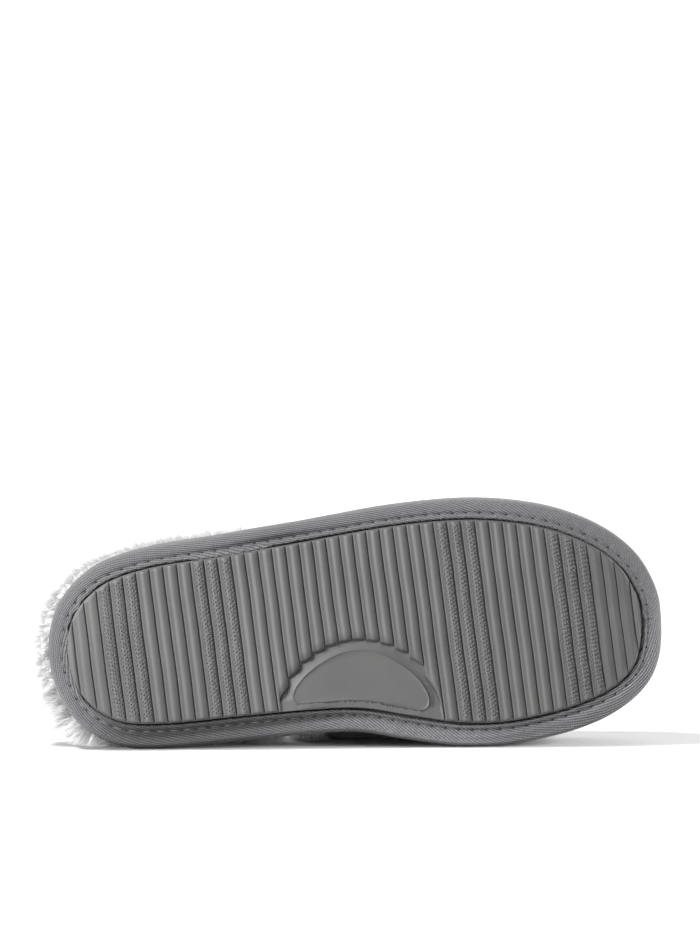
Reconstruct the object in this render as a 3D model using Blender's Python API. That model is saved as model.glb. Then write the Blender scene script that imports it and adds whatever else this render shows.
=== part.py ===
"""Right open-back slipper with a fur footbed, lying on its inner side.

The pieces are modelled in the slipper's own frame, in millimetres: X from heel to toe, Y to the inner (medial)
side, Z up from the tread. An empty then lays them on the floor, sole to the front.
"""

import math

import bpy
import numpy as np
from mathutils import Matrix

MM = 0.001

# Outsole outline: half widths on each side of the X axis at each station.
OUTLINE_COLUMNS = ("station", "medial", "lateral")
OUTLINE = (
    (-117.0, 14.2, 13.8),
    (-110.0, 23.6, 23.0),
    (-99.0, 30.2, 30.0),
    (-80.0, 33.2, 33.9),
    (-52.0, 34.1, 35.0),
    (-19.0, 35.4, 36.8),
    (0.5, 37.0, 38.0),
    (20.0, 42.4, 38.8),
    (41.0, 47.9, 38.6),
    (60.0, 50.0, 36.9),
    (80.0, 49.0, 32.6),
    (95.0, 46.4, 27.0),
    (110.0, 41.2, 18.0),
    (119.5, 33.6, 8.4),
    (124.4, 22.0, -2.4),
)
HEEL_TIP = (-119.9, 0.0)
TOE_TIP = (125.9, 10.0)
OUTLINE_STEPS = 40
OFFSET_LOOP = 160

# The tread curls up at both ends.
TOE_SPRING_START = 86.0
TOE_SPRING_RATE = 0.0030
HEEL_SPRING_START = -104.0
HEEL_SPRING_RATE = 0.0035

# Outsole
OUTSOLE_TOP = 4.2
FIRST_GROOVE = -116.6
RIB_PITCH = 5.82
GROOVE_COUNT = 42
GROOVE_DEPTH = 1.6
# Rib section: share of the pitch, share of the groove's depth
RIB = (
    (0.00, 1.0),
    (0.26, 0.0),
    (0.60, 0.0),
    (0.88, 0.42),
)
RIM_LEVEL = 1.2
RIM_WIDTH = 1.1
RIB_END_WIDTH = 1.2
TIP_INSETS = (0.25, 1.0, 2.1)

# Half-moon arch plate, on the medial side
MOON_START = -34.3
MOON_END = 34.5
MOON_COLUMNS = ("station", "rib ends", "panel edge")
MOON = (
    (-34.3, 34.0, 36.0),
    (-29.0, 25.4, 32.0),
    (-24.0, 20.4, 24.2),
    (-15.0, 14.0, 18.4),
    (-5.0, 10.0, 14.0),
    (3.0, 8.6, 12.4),
    (10.0, 10.0, 14.4),
    (18.0, 14.4, 20.0),
    (25.0, 21.2, 27.6),
    (29.4, 28.6, 38.6),
    (34.5, 43.0, 44.0),
)
PANEL_START = -28.4
PANEL_END = 29.6
PANEL_LOW_INSET = 5.2
RING_LEVEL = 1.7
PANEL_LEVEL = 1.1
PANEL_SLOPE = 0.5
MOON_WALL = 0.7
# Columns across the tread that outline the plate; clear of it they gather at the ribs' medial ends.
PLATE_COLUMNS = 6
GATHER_STEP = 0.3
LEAST_PLATE = 2.4
LEAST_PANEL = 2.0

# Twill-wrapped platform: distance out from the outsole's edge where the band is BAND_REACH wide, and height
BAND_REACH = 9.0
BAND_MARGIN = {"heel": 7.9, "toe": 11.2, "medial": 10.2, "lateral": 9.0}
BAND = (
    (-6.0, 4.5),
    (0.5, 4.5),
    (0.9, 3.1),
    (2.0, 2.9),
    (2.7, 3.9),
    (3.6, 2.9),
    (5.6, 3.5),
    (7.6, 5.8),
    (8.7, 8.8),
    (9.0, 11.5),
    (8.6, 15.0),
    (7.3, 18.2),
    (5.2, 19.9),
    (2.0, 20.2),
)
BAND_LOOP = 48

# Vamp
VAMP_START = -14.0
VAMP_BASE = 20.5
VAMP_OUT = 5.0
VAMP_WALL = 6.0
VAMP_CREST_COLUMNS = ("station", "height above the platform")
VAMP_CREST = ((-14.0, 58.0), (20.0, 52.0), (60.0, 42.0), (95.0, 35.5), (135.0, 30.0))
TOE_BOX_START = 88.0
TOE_BOX_POWER = 2.6
VAMP_POWER = 2.6
CREST_SHIFT = 0.16
BULGE = {"medial": 6.4, "lateral": 2.2}
BULGE_PEAK = 0.286
VAMP_STATIONS = 17
VAMP_ARC = 20

# Fur roll on the vamp's rear edge
CUFF_GAP = 0.35
CUFF_HALF_LENGTH = 5.5
CUFF_HALF_THICKNESS = 5.6
CUFF_OUT = 3.0
CUFF_SIDES = 12
CUFF_ARC = 24

# Fur footbed: distance out from the outsole's edge and height, behind the vamp, then the same two under it
PILE = (
    (-6.0, 20.5, -10.0, 20.5),
    (4.6, 20.6, -3.7, 20.5),
    (8.0, 20.4, -3.2, 21.8),
    (9.6, 22.4, -3.2, 23.6),
    (9.5, 26.0, -3.7, 25.4),
    (7.2, 29.4, -5.2, 27.0),
    (2.0, 31.3, -9.0, 28.2),
)
PILE_MARGIN = {"heel": 11.6, "toe": 9.0, "medial": 8.6, "lateral": 9.6}
PILE_REACH = 9.6
COVER_START = -39.0
COVER_END = -27.0
# Dome of the pile: share of the way to the middle, rise
PILE_DOME = ((0.45, 0.7), (0.8, 1.0))
PILE_LOOP = 56

# Search for the angles at which the slipper lies on its side
SOLVE_STEPS = 60
SOLVE_ROUNDS = 5
MOST_LEAN = 30.0


def clear_scene():
    """Removes the startup objects."""
    for obj in list(bpy.data.objects):
        bpy.data.objects.remove(obj)


def column(table, columns, name):
    """One named column of a table."""
    return np.array([row[columns.index(name)] for row in table])


def smooth_through(points, steps):
    """Points on a closed smooth curve through the given points, steps to each span."""
    points = np.asarray(points, float)
    count = len(points)
    share = np.linspace(0.0, 1.0, steps, endpoint=False)[:, None]
    spans = []
    for i in range(count):
        before, here = points[i - 1], points[i]
        there, after = points[(i + 1) % count], points[(i + 2) % count]
        length = np.linalg.norm(there - here)
        leave = (there - before) / (np.linalg.norm(here - before) + length) * length
        arrive = (after - here) / (np.linalg.norm(after - there) + length) * length
        spans.append(
            here * (2 * share**3 - 3 * share**2 + 1)
            + leave * (share**3 - 2 * share**2 + share)
            + there * (3 * share**2 - 2 * share**3)
            + arrive * (share**3 - share**2)
        )
    return np.concatenate(spans)


def outline_halves():
    """The outsole's outline as two dense curves from heel tip to toe tip: lateral, then medial."""
    stations = column(OUTLINE, OUTLINE_COLUMNS, "station")
    medial = np.column_stack([stations, column(OUTLINE, OUTLINE_COLUMNS, "medial")])
    lateral = np.column_stack([stations, -column(OUTLINE, OUTLINE_COLUMNS, "lateral")])
    loop = smooth_through(
        np.concatenate([[HEEL_TIP], lateral, [TOE_TIP], medial[::-1]]), OUTLINE_STEPS
    )
    toe = (len(OUTLINE) + 1) * OUTLINE_STEPS
    first = loop[: toe + 1]
    second = np.concatenate([loop[toe:], loop[:1]])[::-1]
    return first, second


def even_points(curve, count):
    """count + 1 points spaced evenly along a curve."""
    steps = np.linalg.norm(np.diff(curve, axis=0), axis=1)
    along = np.concatenate([[0.0], np.cumsum(steps)])
    wanted = np.linspace(0.0, along[-1], count + 1)
    return np.column_stack([np.interp(wanted, along, curve[:, i]) for i in range(2)])


def outline_loop(per_side):
    """A closed loop of points and outward normals, from the heel tip along the lateral side and back."""
    lateral, medial = outline_halves()
    first = even_points(lateral, per_side)
    second = even_points(medial, per_side)
    points = np.concatenate([first[:-1], second[:0:-1]])
    ahead = np.roll(points, -1, axis=0) - np.roll(points, 1, axis=0)
    ahead /= np.linalg.norm(ahead, axis=1)[:, None]
    normals = np.column_stack([ahead[:, 1], -ahead[:, 0]])
    return points, normals


def margin(normals, reach):
    """The band's reach in each outward direction, blended from the four named ones."""
    along, across = normals[:, 0], normals[:, 1]
    ends = np.where(along < 0, reach["heel"], reach["toe"])
    sides = np.where(across < 0, reach["lateral"], reach["medial"])
    return along**2 * ends + across**2 * sides


def spring(x):
    """How far the tread has curled up at a station."""
    toe = np.maximum(np.asarray(x, float) - TOE_SPRING_START, 0.0)
    heel = np.maximum(HEEL_SPRING_START - np.asarray(x, float), 0.0)
    return TOE_SPRING_RATE * toe**2 + HEEL_SPRING_RATE * heel**2


def smooth_at(x, stations, values):
    """A smooth curve through the values at their stations, read at x."""
    slopes = np.gradient(values, stations)
    i = int(np.clip(np.searchsorted(stations, x) - 1, 0, len(stations) - 2))
    span = stations[i + 1] - stations[i]
    share = (x - stations[i]) / span
    return float(
        values[i] * (2 * share**3 - 3 * share**2 + 1)
        + slopes[i] * span * (share**3 - 2 * share**2 + share)
        + values[i + 1] * (3 * share**2 - 2 * share**3)
        + slopes[i + 1] * span * (share**3 - share**2)
    )


def ease(x, start, end):
    """A smooth step from 0 at start to 1 at end."""
    share = np.clip((np.asarray(x, float) - start) / (end - start), 0.0, 1.0)
    return share * share * (3 - 2 * share)


def make_solid(name, points, faces, colour, roughness, parent):
    """A named mesh object with its own material, in metres, carried by the parent."""
    mesh = bpy.data.meshes.new(name)
    mesh.from_pydata((np.asarray(points) * MM).tolist(), [], faces)
    mesh.validate()
    material = bpy.data.materials.new(name)
    material.use_nodes = True
    shader = material.node_tree.nodes["Principled BSDF"]
    shader.inputs["Base Color"].default_value = (*colour, 1.0)
    shader.inputs["Roughness"].default_value = roughness
    mesh.materials.append(material)
    obj = bpy.data.objects.new(name, mesh)
    bpy.context.scene.collection.objects.link(obj)
    obj.parent = parent
    return np.asarray(points)


def loft(loops, close_ends):
    """Faces between closed loops of equal length that follow each other outside in."""
    count = len(loops[0])
    faces = []
    for ring in range(len(loops) - 1):
        low = ring * count
        for i in range(count):
            j = (i + 1) % count
            faces.append((low + i, low + j, low + count + j, low + count + i))
    if close_ends:
        faces += cap(0, count, True)
        faces += cap((len(loops) - 1) * count, count, False)
    return np.concatenate(loops), faces


def cap(first, count, downward):
    """Faces across a loop, from each lateral point to the medial point beside it."""
    half = count // 2
    faces = [(first, first + 1, first + count - 1)]
    for i in range(1, half - 1):
        faces.append((first + i, first + i + 1, first + count - i - 1, first + count - i))
    faces.append((first + half - 1, first + half, first + half + 1))
    return [face[::-1] for face in faces] if downward else faces


def groove_stations():
    """Stations of the grooves, at an even pitch along the curled tread."""
    found = [FIRST_GROOVE]
    for _ in range(GROOVE_COUNT - 1):
        slope = (spring(found[-1] + RIB_PITCH) - spring(found[-1])) / RIB_PITCH
        found.append(found[-1] + RIB_PITCH / math.hypot(1.0, float(slope)))
    return found


def tread_rows():
    """(station, depth of the rib surface) for each row of the tread, from heel to toe."""
    grooves = groove_stations()
    rows = []
    for start, end in zip(grooves, grooves[1:]):
        for share, depth in RIB:
            rows.append((start + share * (end - start), depth * GROOVE_DEPTH))
    rows.append((grooves[-1], GROOVE_DEPTH))
    heel, toe = [], []
    for i, inset in enumerate(TIP_INSETS):
        depth = RIM_LEVEL * (1 - i / len(TIP_INSETS))
        heel.append((HEEL_TIP[0] + inset, depth))
        toe.insert(0, (TOE_TIP[0] - inset, depth))
    return heel + rows + toe


def tread_row(x, rib_depth, lateral_edge, medial_edge):
    """(y, depth) across the tread at a station, from the lateral edge to the medial edge."""
    low = lateral_edge + RIM_WIDTH
    rib_low = low + RIB_END_WIDTH
    high = medial_edge - RIM_WIDTH
    rib_high = high - RIB_END_WIDTH
    row = [(lateral_edge, RIM_LEVEL), (low, RIM_LEVEL), (rib_low, rib_depth)]
    rim = [(high, RIM_LEVEL), (medial_edge, RIM_LEVEL)]
    stations = column(MOON, MOON_COLUMNS, "station")
    arc = smooth_at(x, stations, column(MOON, MOON_COLUMNS, "rib ends"))
    if not MOON_START < x < MOON_END or rib_high - arc < LEAST_PLATE:
        gathered = [(rib_high - k * GATHER_STEP, rib_depth) for k in range(PLATE_COLUMNS, -1, -1)]
        return row + gathered + rim
    row += [(arc, rib_depth), (arc + MOON_WALL, RING_LEVEL)]
    panel_high = smooth_at(x, stations, column(MOON, MOON_COLUMNS, "panel edge"))
    panel_low = medial_edge - PANEL_LOW_INSET
    if PANEL_START < x < PANEL_END and panel_low - panel_high > LEAST_PANEL:
        row += [
            (panel_high - PANEL_SLOPE, RING_LEVEL),
            (panel_high, PANEL_LEVEL),
            (panel_low, PANEL_LEVEL),
            (panel_low + PANEL_SLOPE, RING_LEVEL),
            (rib_high, RING_LEVEL),
        ]
    else:
        across = np.linspace(arc + MOON_WALL, rib_high, PLATE_COLUMNS)[1:]
        row += [(float(y), RING_LEVEL) for y in across]
    return row + rim


def make_outsole(parent):
    """Ribbed rubber plate: rows across the tread, a flat top and the walls between."""
    lateral, medial = outline_halves()
    points, faces = [], []
    rows = tread_rows()
    width = 0
    for x, depth in rows:
        lateral_edge = float(np.interp(x, lateral[:, 0], lateral[:, 1]))
        medial_edge = float(np.interp(x, medial[:, 0], medial[:, 1]))
        row = tread_row(x, depth, lateral_edge, medial_edge)
        lift = float(spring(x))
        points += [(x, y, down + lift) for y, down in row]
        points += [(x, medial_edge, OUTSOLE_TOP + lift), (x, lateral_edge, OUTSOLE_TOP + lift)]
        width = len(row) + 2
    for r in range(len(rows) - 1):
        here, there = r * width, (r + 1) * width
        for i in range(width):
            j = (i + 1) % width
            faces.append((here + i, here + j, there + j, there + i))
    last = (len(rows) - 1) * width
    faces.append(tuple(range(width))[::-1])
    faces.append(tuple(range(last, last + width)))
    return make_solid("outsole", points, faces, (0.20, 0.20, 0.19), 0.6, parent)


def make_midsole(parent):
    """Foam platform with its twill band, as a profile carried around the outline."""
    points, normals = outline_loop(BAND_LOOP)
    wide = margin(normals, BAND_MARGIN) / BAND_REACH
    loops = []
    for out, height in BAND:
        share = wide if out > 0 else np.ones(len(points))
        plan = points + normals * (out * share)[:, None]
        loops.append(np.column_stack([plan, height + spring(plan[:, 0])]))
    solid = loft(loops, True)
    return make_solid("midsole", *solid, (0.22, 0.22, 0.23), 0.9, parent)


def make_insole(parent):
    """Fur footbed: full pile over the open heel, tucked inside the vamp further forward."""
    points, normals = outline_loop(PILE_LOOP)
    wide = margin(normals, PILE_MARGIN) / PILE_REACH
    loops = []
    for open_out, open_height, covered_out, covered_height in PILE:
        covered = ease(points[:, 0], COVER_START, COVER_END)
        open_reach = open_out * np.where(open_out > 0, wide, 1.0)
        out = open_reach * (1 - covered) + covered_out * covered
        height = open_height * (1 - covered) + covered_height * covered
        plan = points + normals * out[:, None]
        loops.append(np.column_stack([plan, height + spring(plan[:, 0])]))
    edge = loops[-1]
    opposite = np.roll(edge[::-1], 1, axis=0)
    middle = (edge + opposite) / 2
    for share, rise in PILE_DOME:
        ring = edge * (1 - share) + middle * share
        ring[:, 2] += rise
        loops.append(ring)
    solid = loft(loops, True)
    return make_solid("insole", *solid, (0.75, 0.75, 0.74), 0.95, parent)


def offset_halves(out):
    """Lateral and medial curves that lie out from the outsole's edge, from heel to toe."""
    points, normals = outline_loop(OFFSET_LOOP)
    wide = margin(normals, BAND_MARGIN) / BAND_REACH if out > 0 else np.ones(len(points))
    plan = points + normals * (out * wide)[:, None]
    half = len(plan) // 2
    return plan[: half + 1], np.concatenate([plan[half:], plan[:1]])[::-1]


def vamp_section(x, inset, halves, tip):
    """Points of the vamp's arch at a station, from the lateral base over the crest to the medial base."""
    lateral, medial = halves
    low = float(np.interp(x, lateral[:, 0], lateral[:, 1])) + inset
    high = float(np.interp(x, medial[:, 0], medial[:, 1])) - inset
    stations = column(VAMP_CREST, VAMP_CREST_COLUMNS, "station")
    heights = column(VAMP_CREST, VAMP_CREST_COLUMNS, "height above the platform")
    full = smooth_at(x, stations, heights)
    toe = max(x - TOE_BOX_START, 0.0) / (tip - TOE_BOX_START)
    crest = full * max(1 - toe**TOE_BOX_POWER, 0.0) ** (1 / TOE_BOX_POWER) - inset
    ridge = (low + high) / 2 + CREST_SHIFT * (high - low) / 2
    swell = full / heights[0]
    section = []
    for i in range(VAMP_ARC + 1):
        angle = math.pi * i / VAMP_ARC
        side = math.copysign(abs(math.cos(angle)) ** (2 / VAMP_POWER), math.cos(angle))
        rise = abs(math.sin(angle)) ** (2 / VAMP_POWER)
        puff = math.sin(angle) * math.cos(angle) ** 4 / BULGE_PEAK * swell
        if i <= VAMP_ARC // 2:
            y = ridge - (ridge - low) * side - BULGE["lateral"] * puff
        else:
            y = ridge - (high - ridge) * side + BULGE["medial"] * puff
        section.append((x, y, VAMP_BASE + float(spring(x)) + crest * rise))
    return section


def vamp_stations(tip):
    """Stations from the throat to just behind the toe, closer together where the toe turns down."""
    shares = np.sin(np.linspace(0.0, math.pi / 2, VAMP_STATIONS + 1))[:-1]
    return VAMP_START + (tip - VAMP_START) * shares


def make_upper(parent):
    """Hollow vamp: an outer and an inner skin, joined at the throat and along the base."""
    halves = offset_halves(VAMP_OUT)
    toe_tip = halves[0][-1]
    skins, points = [], []
    for inset in (0.0, VAMP_WALL):
        tip = float(toe_tip[0]) - inset
        rows = []
        for x in vamp_stations(tip):
            section = vamp_section(float(x), inset, halves, tip)
            rows.append(list(range(len(points), len(points) + len(section))))
            points += section
        rows.append([len(points)] * (VAMP_ARC + 1))
        points.append((tip, float(toe_tip[1]), VAMP_BASE + float(spring(tip))))
        skins.append(rows)
    faces = []
    for rows, flip in zip(skins, (False, True)):
        for near, far in zip(rows, rows[1:]):
            for i in range(VAMP_ARC):
                face = [near[i], far[i], far[i + 1], near[i + 1]]
                if far[i] == far[i + 1]:
                    face = [near[i], far[i], near[i + 1]]
                faces.append(tuple(face[::-1]) if flip else tuple(face))
    outer, inner = skins
    for i in range(VAMP_ARC):
        faces.append((outer[0][i], outer[0][i + 1], inner[0][i + 1], inner[0][i]))
    for edge, flip in ((0, False), (VAMP_ARC, True)):
        for r in range(len(outer) - 1):
            face = (outer[r][edge], inner[r][edge], inner[r + 1][edge], outer[r + 1][edge])
            faces.append(face[::-1] if flip else face)
    return make_solid("upper", points, faces, (0.17, 0.17, 0.175), 0.9, parent)


def make_cuff(parent):
    """Fur roll along the vamp's rear edge, from the platform over the instep and down again."""
    halves = offset_halves(VAMP_OUT)
    tip = float(halves[0][-1][0])
    path = np.array(vamp_section(VAMP_START, VAMP_OUT - CUFF_OUT, halves, tip))[:, 1:]
    steps = np.concatenate([[0.0], np.cumsum(np.linalg.norm(np.diff(path, axis=0), axis=1))])
    wanted = np.linspace(0.0, steps[-1], CUFF_ARC + 1)
    path = np.column_stack([np.interp(wanted, steps, path[:, i]) for i in range(2)])
    ahead = np.gradient(path, axis=0)
    ahead[0] = (0.0, 1.0)
    ahead[-1] = (0.0, -1.0)
    ahead /= np.linalg.norm(ahead, axis=1)[:, None]
    outward = np.column_stack([-ahead[:, 1], ahead[:, 0]])
    middle = VAMP_START - CUFF_GAP - CUFF_HALF_LENGTH
    loops = []
    for centre, normal in zip(path, outward):
        ring = []
        for k in range(CUFF_SIDES):
            angle = 2 * math.pi * k / CUFF_SIDES
            off = -normal * CUFF_HALF_THICKNESS * math.sin(angle)
            ring.append((middle + CUFF_HALF_LENGTH * math.cos(angle), *(centre + off)))
        loops.append(np.array(ring))
    points, faces = loft(loops, False)
    last = (len(loops) - 1) * CUFF_SIDES
    faces.append(tuple(range(CUFF_SIDES))[::-1])
    faces.append(tuple(range(last, last + CUFF_SIDES)))
    return make_solid("cuff", points, faces, (0.75, 0.75, 0.74), 0.95, parent)


def lying_axes(turn, lean):
    """The slipper's X, Y and Z axes in the world, turned in the sole's plane and leaning back."""
    ct, st = math.cos(turn), math.sin(turn)
    cl, sl = math.cos(lean), math.sin(lean)
    return np.array([(ct, st * sl, st * cl), (st, -ct * sl, -ct * cl), (0.0, cl, -sl)])


def solve(difference, low, high):
    """The angle at which a rising difference is zero."""
    for _ in range(SOLVE_STEPS):
        middle = (low + high) / 2
        if difference(middle) > 0:
            high = middle
        else:
            low = middle
    return (low + high) / 2


def lowest(points, turn, lean):
    """Height of the lowest of the points once the slipper lies at these angles."""
    return (points @ lying_axes(turn, lean))[:, 2].min()


def lay_down(parent, sole, covers, everything):
    """Lays the slipper on its inner side: heel and ball of the band and the upper all on the floor."""
    most = math.radians(MOST_LEAN)
    back, front = sole[sole[:, 0] < 0], sole[sole[:, 0] >= 0]
    turn, lean = 0.0, 0.0
    for _ in range(SOLVE_ROUNDS):
        turn = solve(lambda angle: lowest(front, angle, lean) - lowest(back, angle, lean), -most, most)
        lean = solve(lambda angle: lowest(sole, turn, angle) - lowest(covers, turn, angle), -most, most)
    axes = lying_axes(turn, lean)
    world = everything @ axes
    low, high = world.min(axis=0), world.max(axis=0)
    middle = (low + high) / 2
    place = Matrix(axes.T.tolist()).to_4x4()
    place.translation = [-middle[0] * MM, -middle[1] * MM, -low[2] * MM]
    parent.matrix_world = place


clear_scene()
carrier = bpy.data.objects.new("slipper", None)
bpy.context.scene.collection.objects.link(carrier)
outsole = make_outsole(carrier)
midsole = make_midsole(carrier)
insole = make_insole(carrier)
upper = make_upper(carrier)
cuff = make_cuff(carrier)
covers = np.concatenate([upper, cuff])
lay_down(carrier, midsole, covers, np.concatenate([outsole, midsole, insole, covers]))
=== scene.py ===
"""Looks of a right open-back slipper with a fur footbed, lying on its inner side.

Shapes are worked out in the slipper's own frame, in millimetres: X from heel to toe, Y to the inner (medial)
side, Z up from the tread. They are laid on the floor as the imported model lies, before a camera and lights.
"""

import math

import bpy
import numpy as np
from mathutils import Matrix, Vector


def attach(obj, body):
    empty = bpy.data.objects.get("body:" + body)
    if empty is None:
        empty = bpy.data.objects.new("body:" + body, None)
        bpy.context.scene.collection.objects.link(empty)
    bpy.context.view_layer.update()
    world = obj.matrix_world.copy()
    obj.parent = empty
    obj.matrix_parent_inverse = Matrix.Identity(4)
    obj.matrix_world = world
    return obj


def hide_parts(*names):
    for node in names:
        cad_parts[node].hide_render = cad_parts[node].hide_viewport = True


MM = 0.001
FLOOR_CLEARANCE = 0.00003
TINY = 1e-9
SEEDS = {"pebbles": 11, "fray": 8, "holes": 5, "footbed": 21, "cuff": 33, "lining": 44}

# How the slipper lies
TURN = math.radians(6.9556)
LEAN = math.radians(3.3224)
ORIGIN = np.array([-3.49, -39.61, 53.57])

# Outsole outline
# Columns: station, half width on the medial side, on the lateral side
OUTLINE = (
    (-117.0, 14.2, 13.8),
    (-110.0, 23.6, 23.0),
    (-99.0, 30.0, 29.7),
    (-80.0, 32.6, 33.4),
    (-52.0, 33.4, 34.4),
    (-19.0, 34.6, 36.15),
    (0.5, 36.5, 37.3),
    (20.0, 42.1, 38.25),
    (41.0, 47.8, 38.2),
    (60.0, 50.1, 36.6),
    (80.0, 49.0, 32.3),
    (95.0, 46.4, 26.8),
    (110.0, 41.2, 18.0),
    (119.5, 33.6, 8.4),
    (124.4, 22.0, -2.4),
)
HEEL_TIP = (-119.9, 0.0)
TOE_TIP = (125.9, 10.0)
OUTLINE_STEPS = 40
OFFSET_LOOP = 160
TOE_SPRING_START = 86.0
TOE_SPRING_RATE = 0.0030
HEEL_SPRING_START = -104.0
HEEL_SPRING_RATE = 0.0035

# Tread
OUTSOLE_TOP = 4.2
SIDE_WALL = 2.4
FIRST_GROOVE = -116.4
RIB_PITCH = 5.835
# Columns: groove, how far it lies ahead of an even pitch
DRIFT = (
    (0, 0.16),
    (3, -0.10),
    (8, -0.07),
    (12, -0.22),
    (28, -0.33),
    (33, -0.10),
    (37, 0.2),
    (39, 0.0),
    (40, -0.5),
)
GROOVE_COUNT = 42
RIB_SLANT = 0.0067
# Columns: size, then millimetres to a radian across and along
WOBBLE = ((0.07, 9.0, 13.0), (0.05, 4.1, -7.0))
# Columns: share of the pitch, depth
RIB = (
    (0.0, 1.50),
    (0.03, 1.50),
    (0.042, 0.84),
    (0.065, 0.57),
    (0.09, 0.52),
    (0.17, 0.535),
    (0.24, 0.565),
    (0.285, 0.575),
    (0.325, 0.54),
    (0.36, 0.475),
    (0.395, 0.37),
    (0.43, 0.245),
    (0.465, 0.135),
    (0.50, 0.065),
    (0.54, 0.018),
    (0.58, 0.0),
    (0.63, 0.017),
    (0.69, 0.083),
    (0.75, 0.185),
    (0.81, 0.31),
    (0.87, 0.465),
    (0.925, 0.645),
    (0.956, 0.78),
    (0.97, 1.50),
)
# Columns: station, share of full relief, roll
RELIEF = (
    (-116.0, 0.45, 0.0),
    (-98.0, 0.6, 0.0),
    (-84.0, 0.88, 0.0),
    (-60.0, 0.9, 0.0),
    (-40.0, 1.0, 0.0),
    (10.0, 1.0, 0.0),
    (50.0, 0.94, 0.0),
    (104.8, 0.88, 0.0),
    (105.8, 0.3, 0.22),
    (124.0, 0.3, 0.22),
)
RIB_LEVEL = 0.42
WALL_DEPTH = 0.8
RIM_LEVEL = 1.2
RIM_WIDTH = 0.4
RIM_ROUNDING = (0.22, 0.06)
RIB_END_WIDTH = 1.0
EDGE_ROOM = 0.6
EDGE_STEPS = (0.0, 0.1, 0.25, 0.4, 0.47, 0.58, 0.75, 1.0, 1.4, 2.0, 2.9)
# Rows beyond the ribs at heel and toe; columns: inset from the tip, depth
HEEL_ROWS = (
    (0.12, 1.45),
    (0.45, 1.22),
    (1.1, 1.20),
    (1.5, 0.98),
    (2.1, 0.80),
    (2.8, 0.90),
    (3.35, 1.10),
    (3.45, 1.60),
)
TOE_ROWS = ((2.4, 0.66), (1.9, 0.8), (1.5, 0.98), (1.1, 1.20), (0.45, 1.22), (0.12, 1.45))
TOE_ROW_GAP = 0.1
PLAIN_COLUMNS = 12
RUBBER_SHADE = 0.94

# Pebbles: small domes in four lanes on some of the ribs
PEBBLED_RIBS = (2, 3, 4, 9, 10, 11, 27, 28, 29, 35, 36, 37)
# The pebbles' rubber is lighter than the tread's: painted highlight for the light their domes catch
PEBBLE_HIGHLIGHT = 1.18
PEBBLE_LANES = (0.30, 0.47, 0.64, 0.81)
PEBBLE_SPACING = 1.72
PEBBLE_INSET = 2.2
PEBBLE_STRAY = 0.10
PEBBLE_SIZES = (0.85, 1.12)
FIRST_LANE_SIZE = 0.85
PEBBLE_SIDES = 8
PEBBLE_RINGS = ((0.45, 0.20), (0.42, -0.16), (0.24, -0.44))
PEBBLE_TOP = -0.52

# Half-moon arch plate, on the medial side
MOON_START = -34.1
MOON_END = 34.0
# Columns: station, rib ends
MOON = (
    (-34.2, 32.5),
    (-33.0, 28.9),
    (-31.0, 25.4),
    (-28.7, 21.9),
    (-26.3, 19.0),
    (-20.1, 13.9),
    (-14.1, 10.8),
    (-8.3, 9.0),
    (-2.6, 8.2),
    (3.3, 8.3),
    (9.6, 9.8),
    (14.9, 11.9),
    (20.9, 15.7),
    (26.7, 21.1),
    (31.2, 29.8),
    (33.0, 36.5),
    (34.0, 43.8),
)
# Columns: station, y
PANEL = (
    (-28.0, 28.2),
    (-27.1, 25.6),
    (-25.5, 23.4),
    (-21.6, 19.7),
    (-14.7, 15.6),
    (-5.7, 12.4),
    (2.9, 12.2),
    (11.2, 14.7),
    (19.1, 20.2),
    (25.6, 27.0),
    (28.7, 32.9),
    (29.4, 36.0),
    (28.9, 38.9),
    (27.3, 40.4),
    (25.1, 40.6),
    (18.9, 38.5),
    (10.7, 35.6),
    (2.4, 33.5),
    (-8.2, 32.2),
    (-16.7, 32.0),
    (-25.2, 31.3),
    (-26.8, 30.7),
    (-27.9, 29.6),
)
PANEL_STEPS = 8
PANEL_LOW_INSET = 4.4
# Columns: distance out from the panel's edge, depth
PLATE = ((-1.3, 1.12), (-0.42, 1.10), (-0.16, 0.76), (0.06, 0.76), (0.3, 1.22), (2.6, 2.0), (6.0, 2.1))
PANEL_FOOT = 1.22
PANEL_LEAST = 2.2
LOW_STRIP_EDGE = (-1.5, 0.5)
LOW_STRIP_FLATTENING = 0.75
TONGUE = 1.1
TONGUE_SLANT = 0.6
BEVEL = 1.5
TRENCH = 0.7
ARC_STEPS = (-0.5, -0.46, -0.3, -0.12, -0.02, 0.03, 0.1)
RING_COLUMNS = 4
PANEL_RIM_STEPS = (-0.75, -0.4, -0.2, 0.0, 0.12, 0.3, 0.55)
PANEL_COLUMNS = 6
PLATE_COLUMNS = 2 * RING_COLUMNS + 2 * len(PANEL_RIM_STEPS) + PANEL_COLUMNS
GATHER_STEP = 0.05

# Band
BAND_REACH = 9.0
BAND_MARGIN = {"heel": 7.9, "toe": 11.2, "medial": 10.2, "lateral": 9.0}
# Columns: out from the outsole's edge, height
BAND = (
    (-6.0, 4.4),
    (0.38, 4.4),
    (0.42, 3.4),
    (0.58, 2.6),
    (1.0, 2.15),
    (1.6, 2.15),
    (2.2, 2.6),
    (2.70, 3.1),
    (3.2, 2.75),
    (3.8, 2.45),
    (4.7, 2.6),
    (5.8, 3.25),
    (7.0, 4.6),
    (7.9, 6.2),
    (8.6, 8.4),
    (9.0, 11.5),
    (8.75, 14.4),
    (8.1, 16.9),
    (7.0, 18.7),
    (5.6, 19.7),
    (4.0, 20.1),
    (2.0, 20.2),
    (-4.0, 20.2),
)
BAND_STEPS = 3
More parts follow.
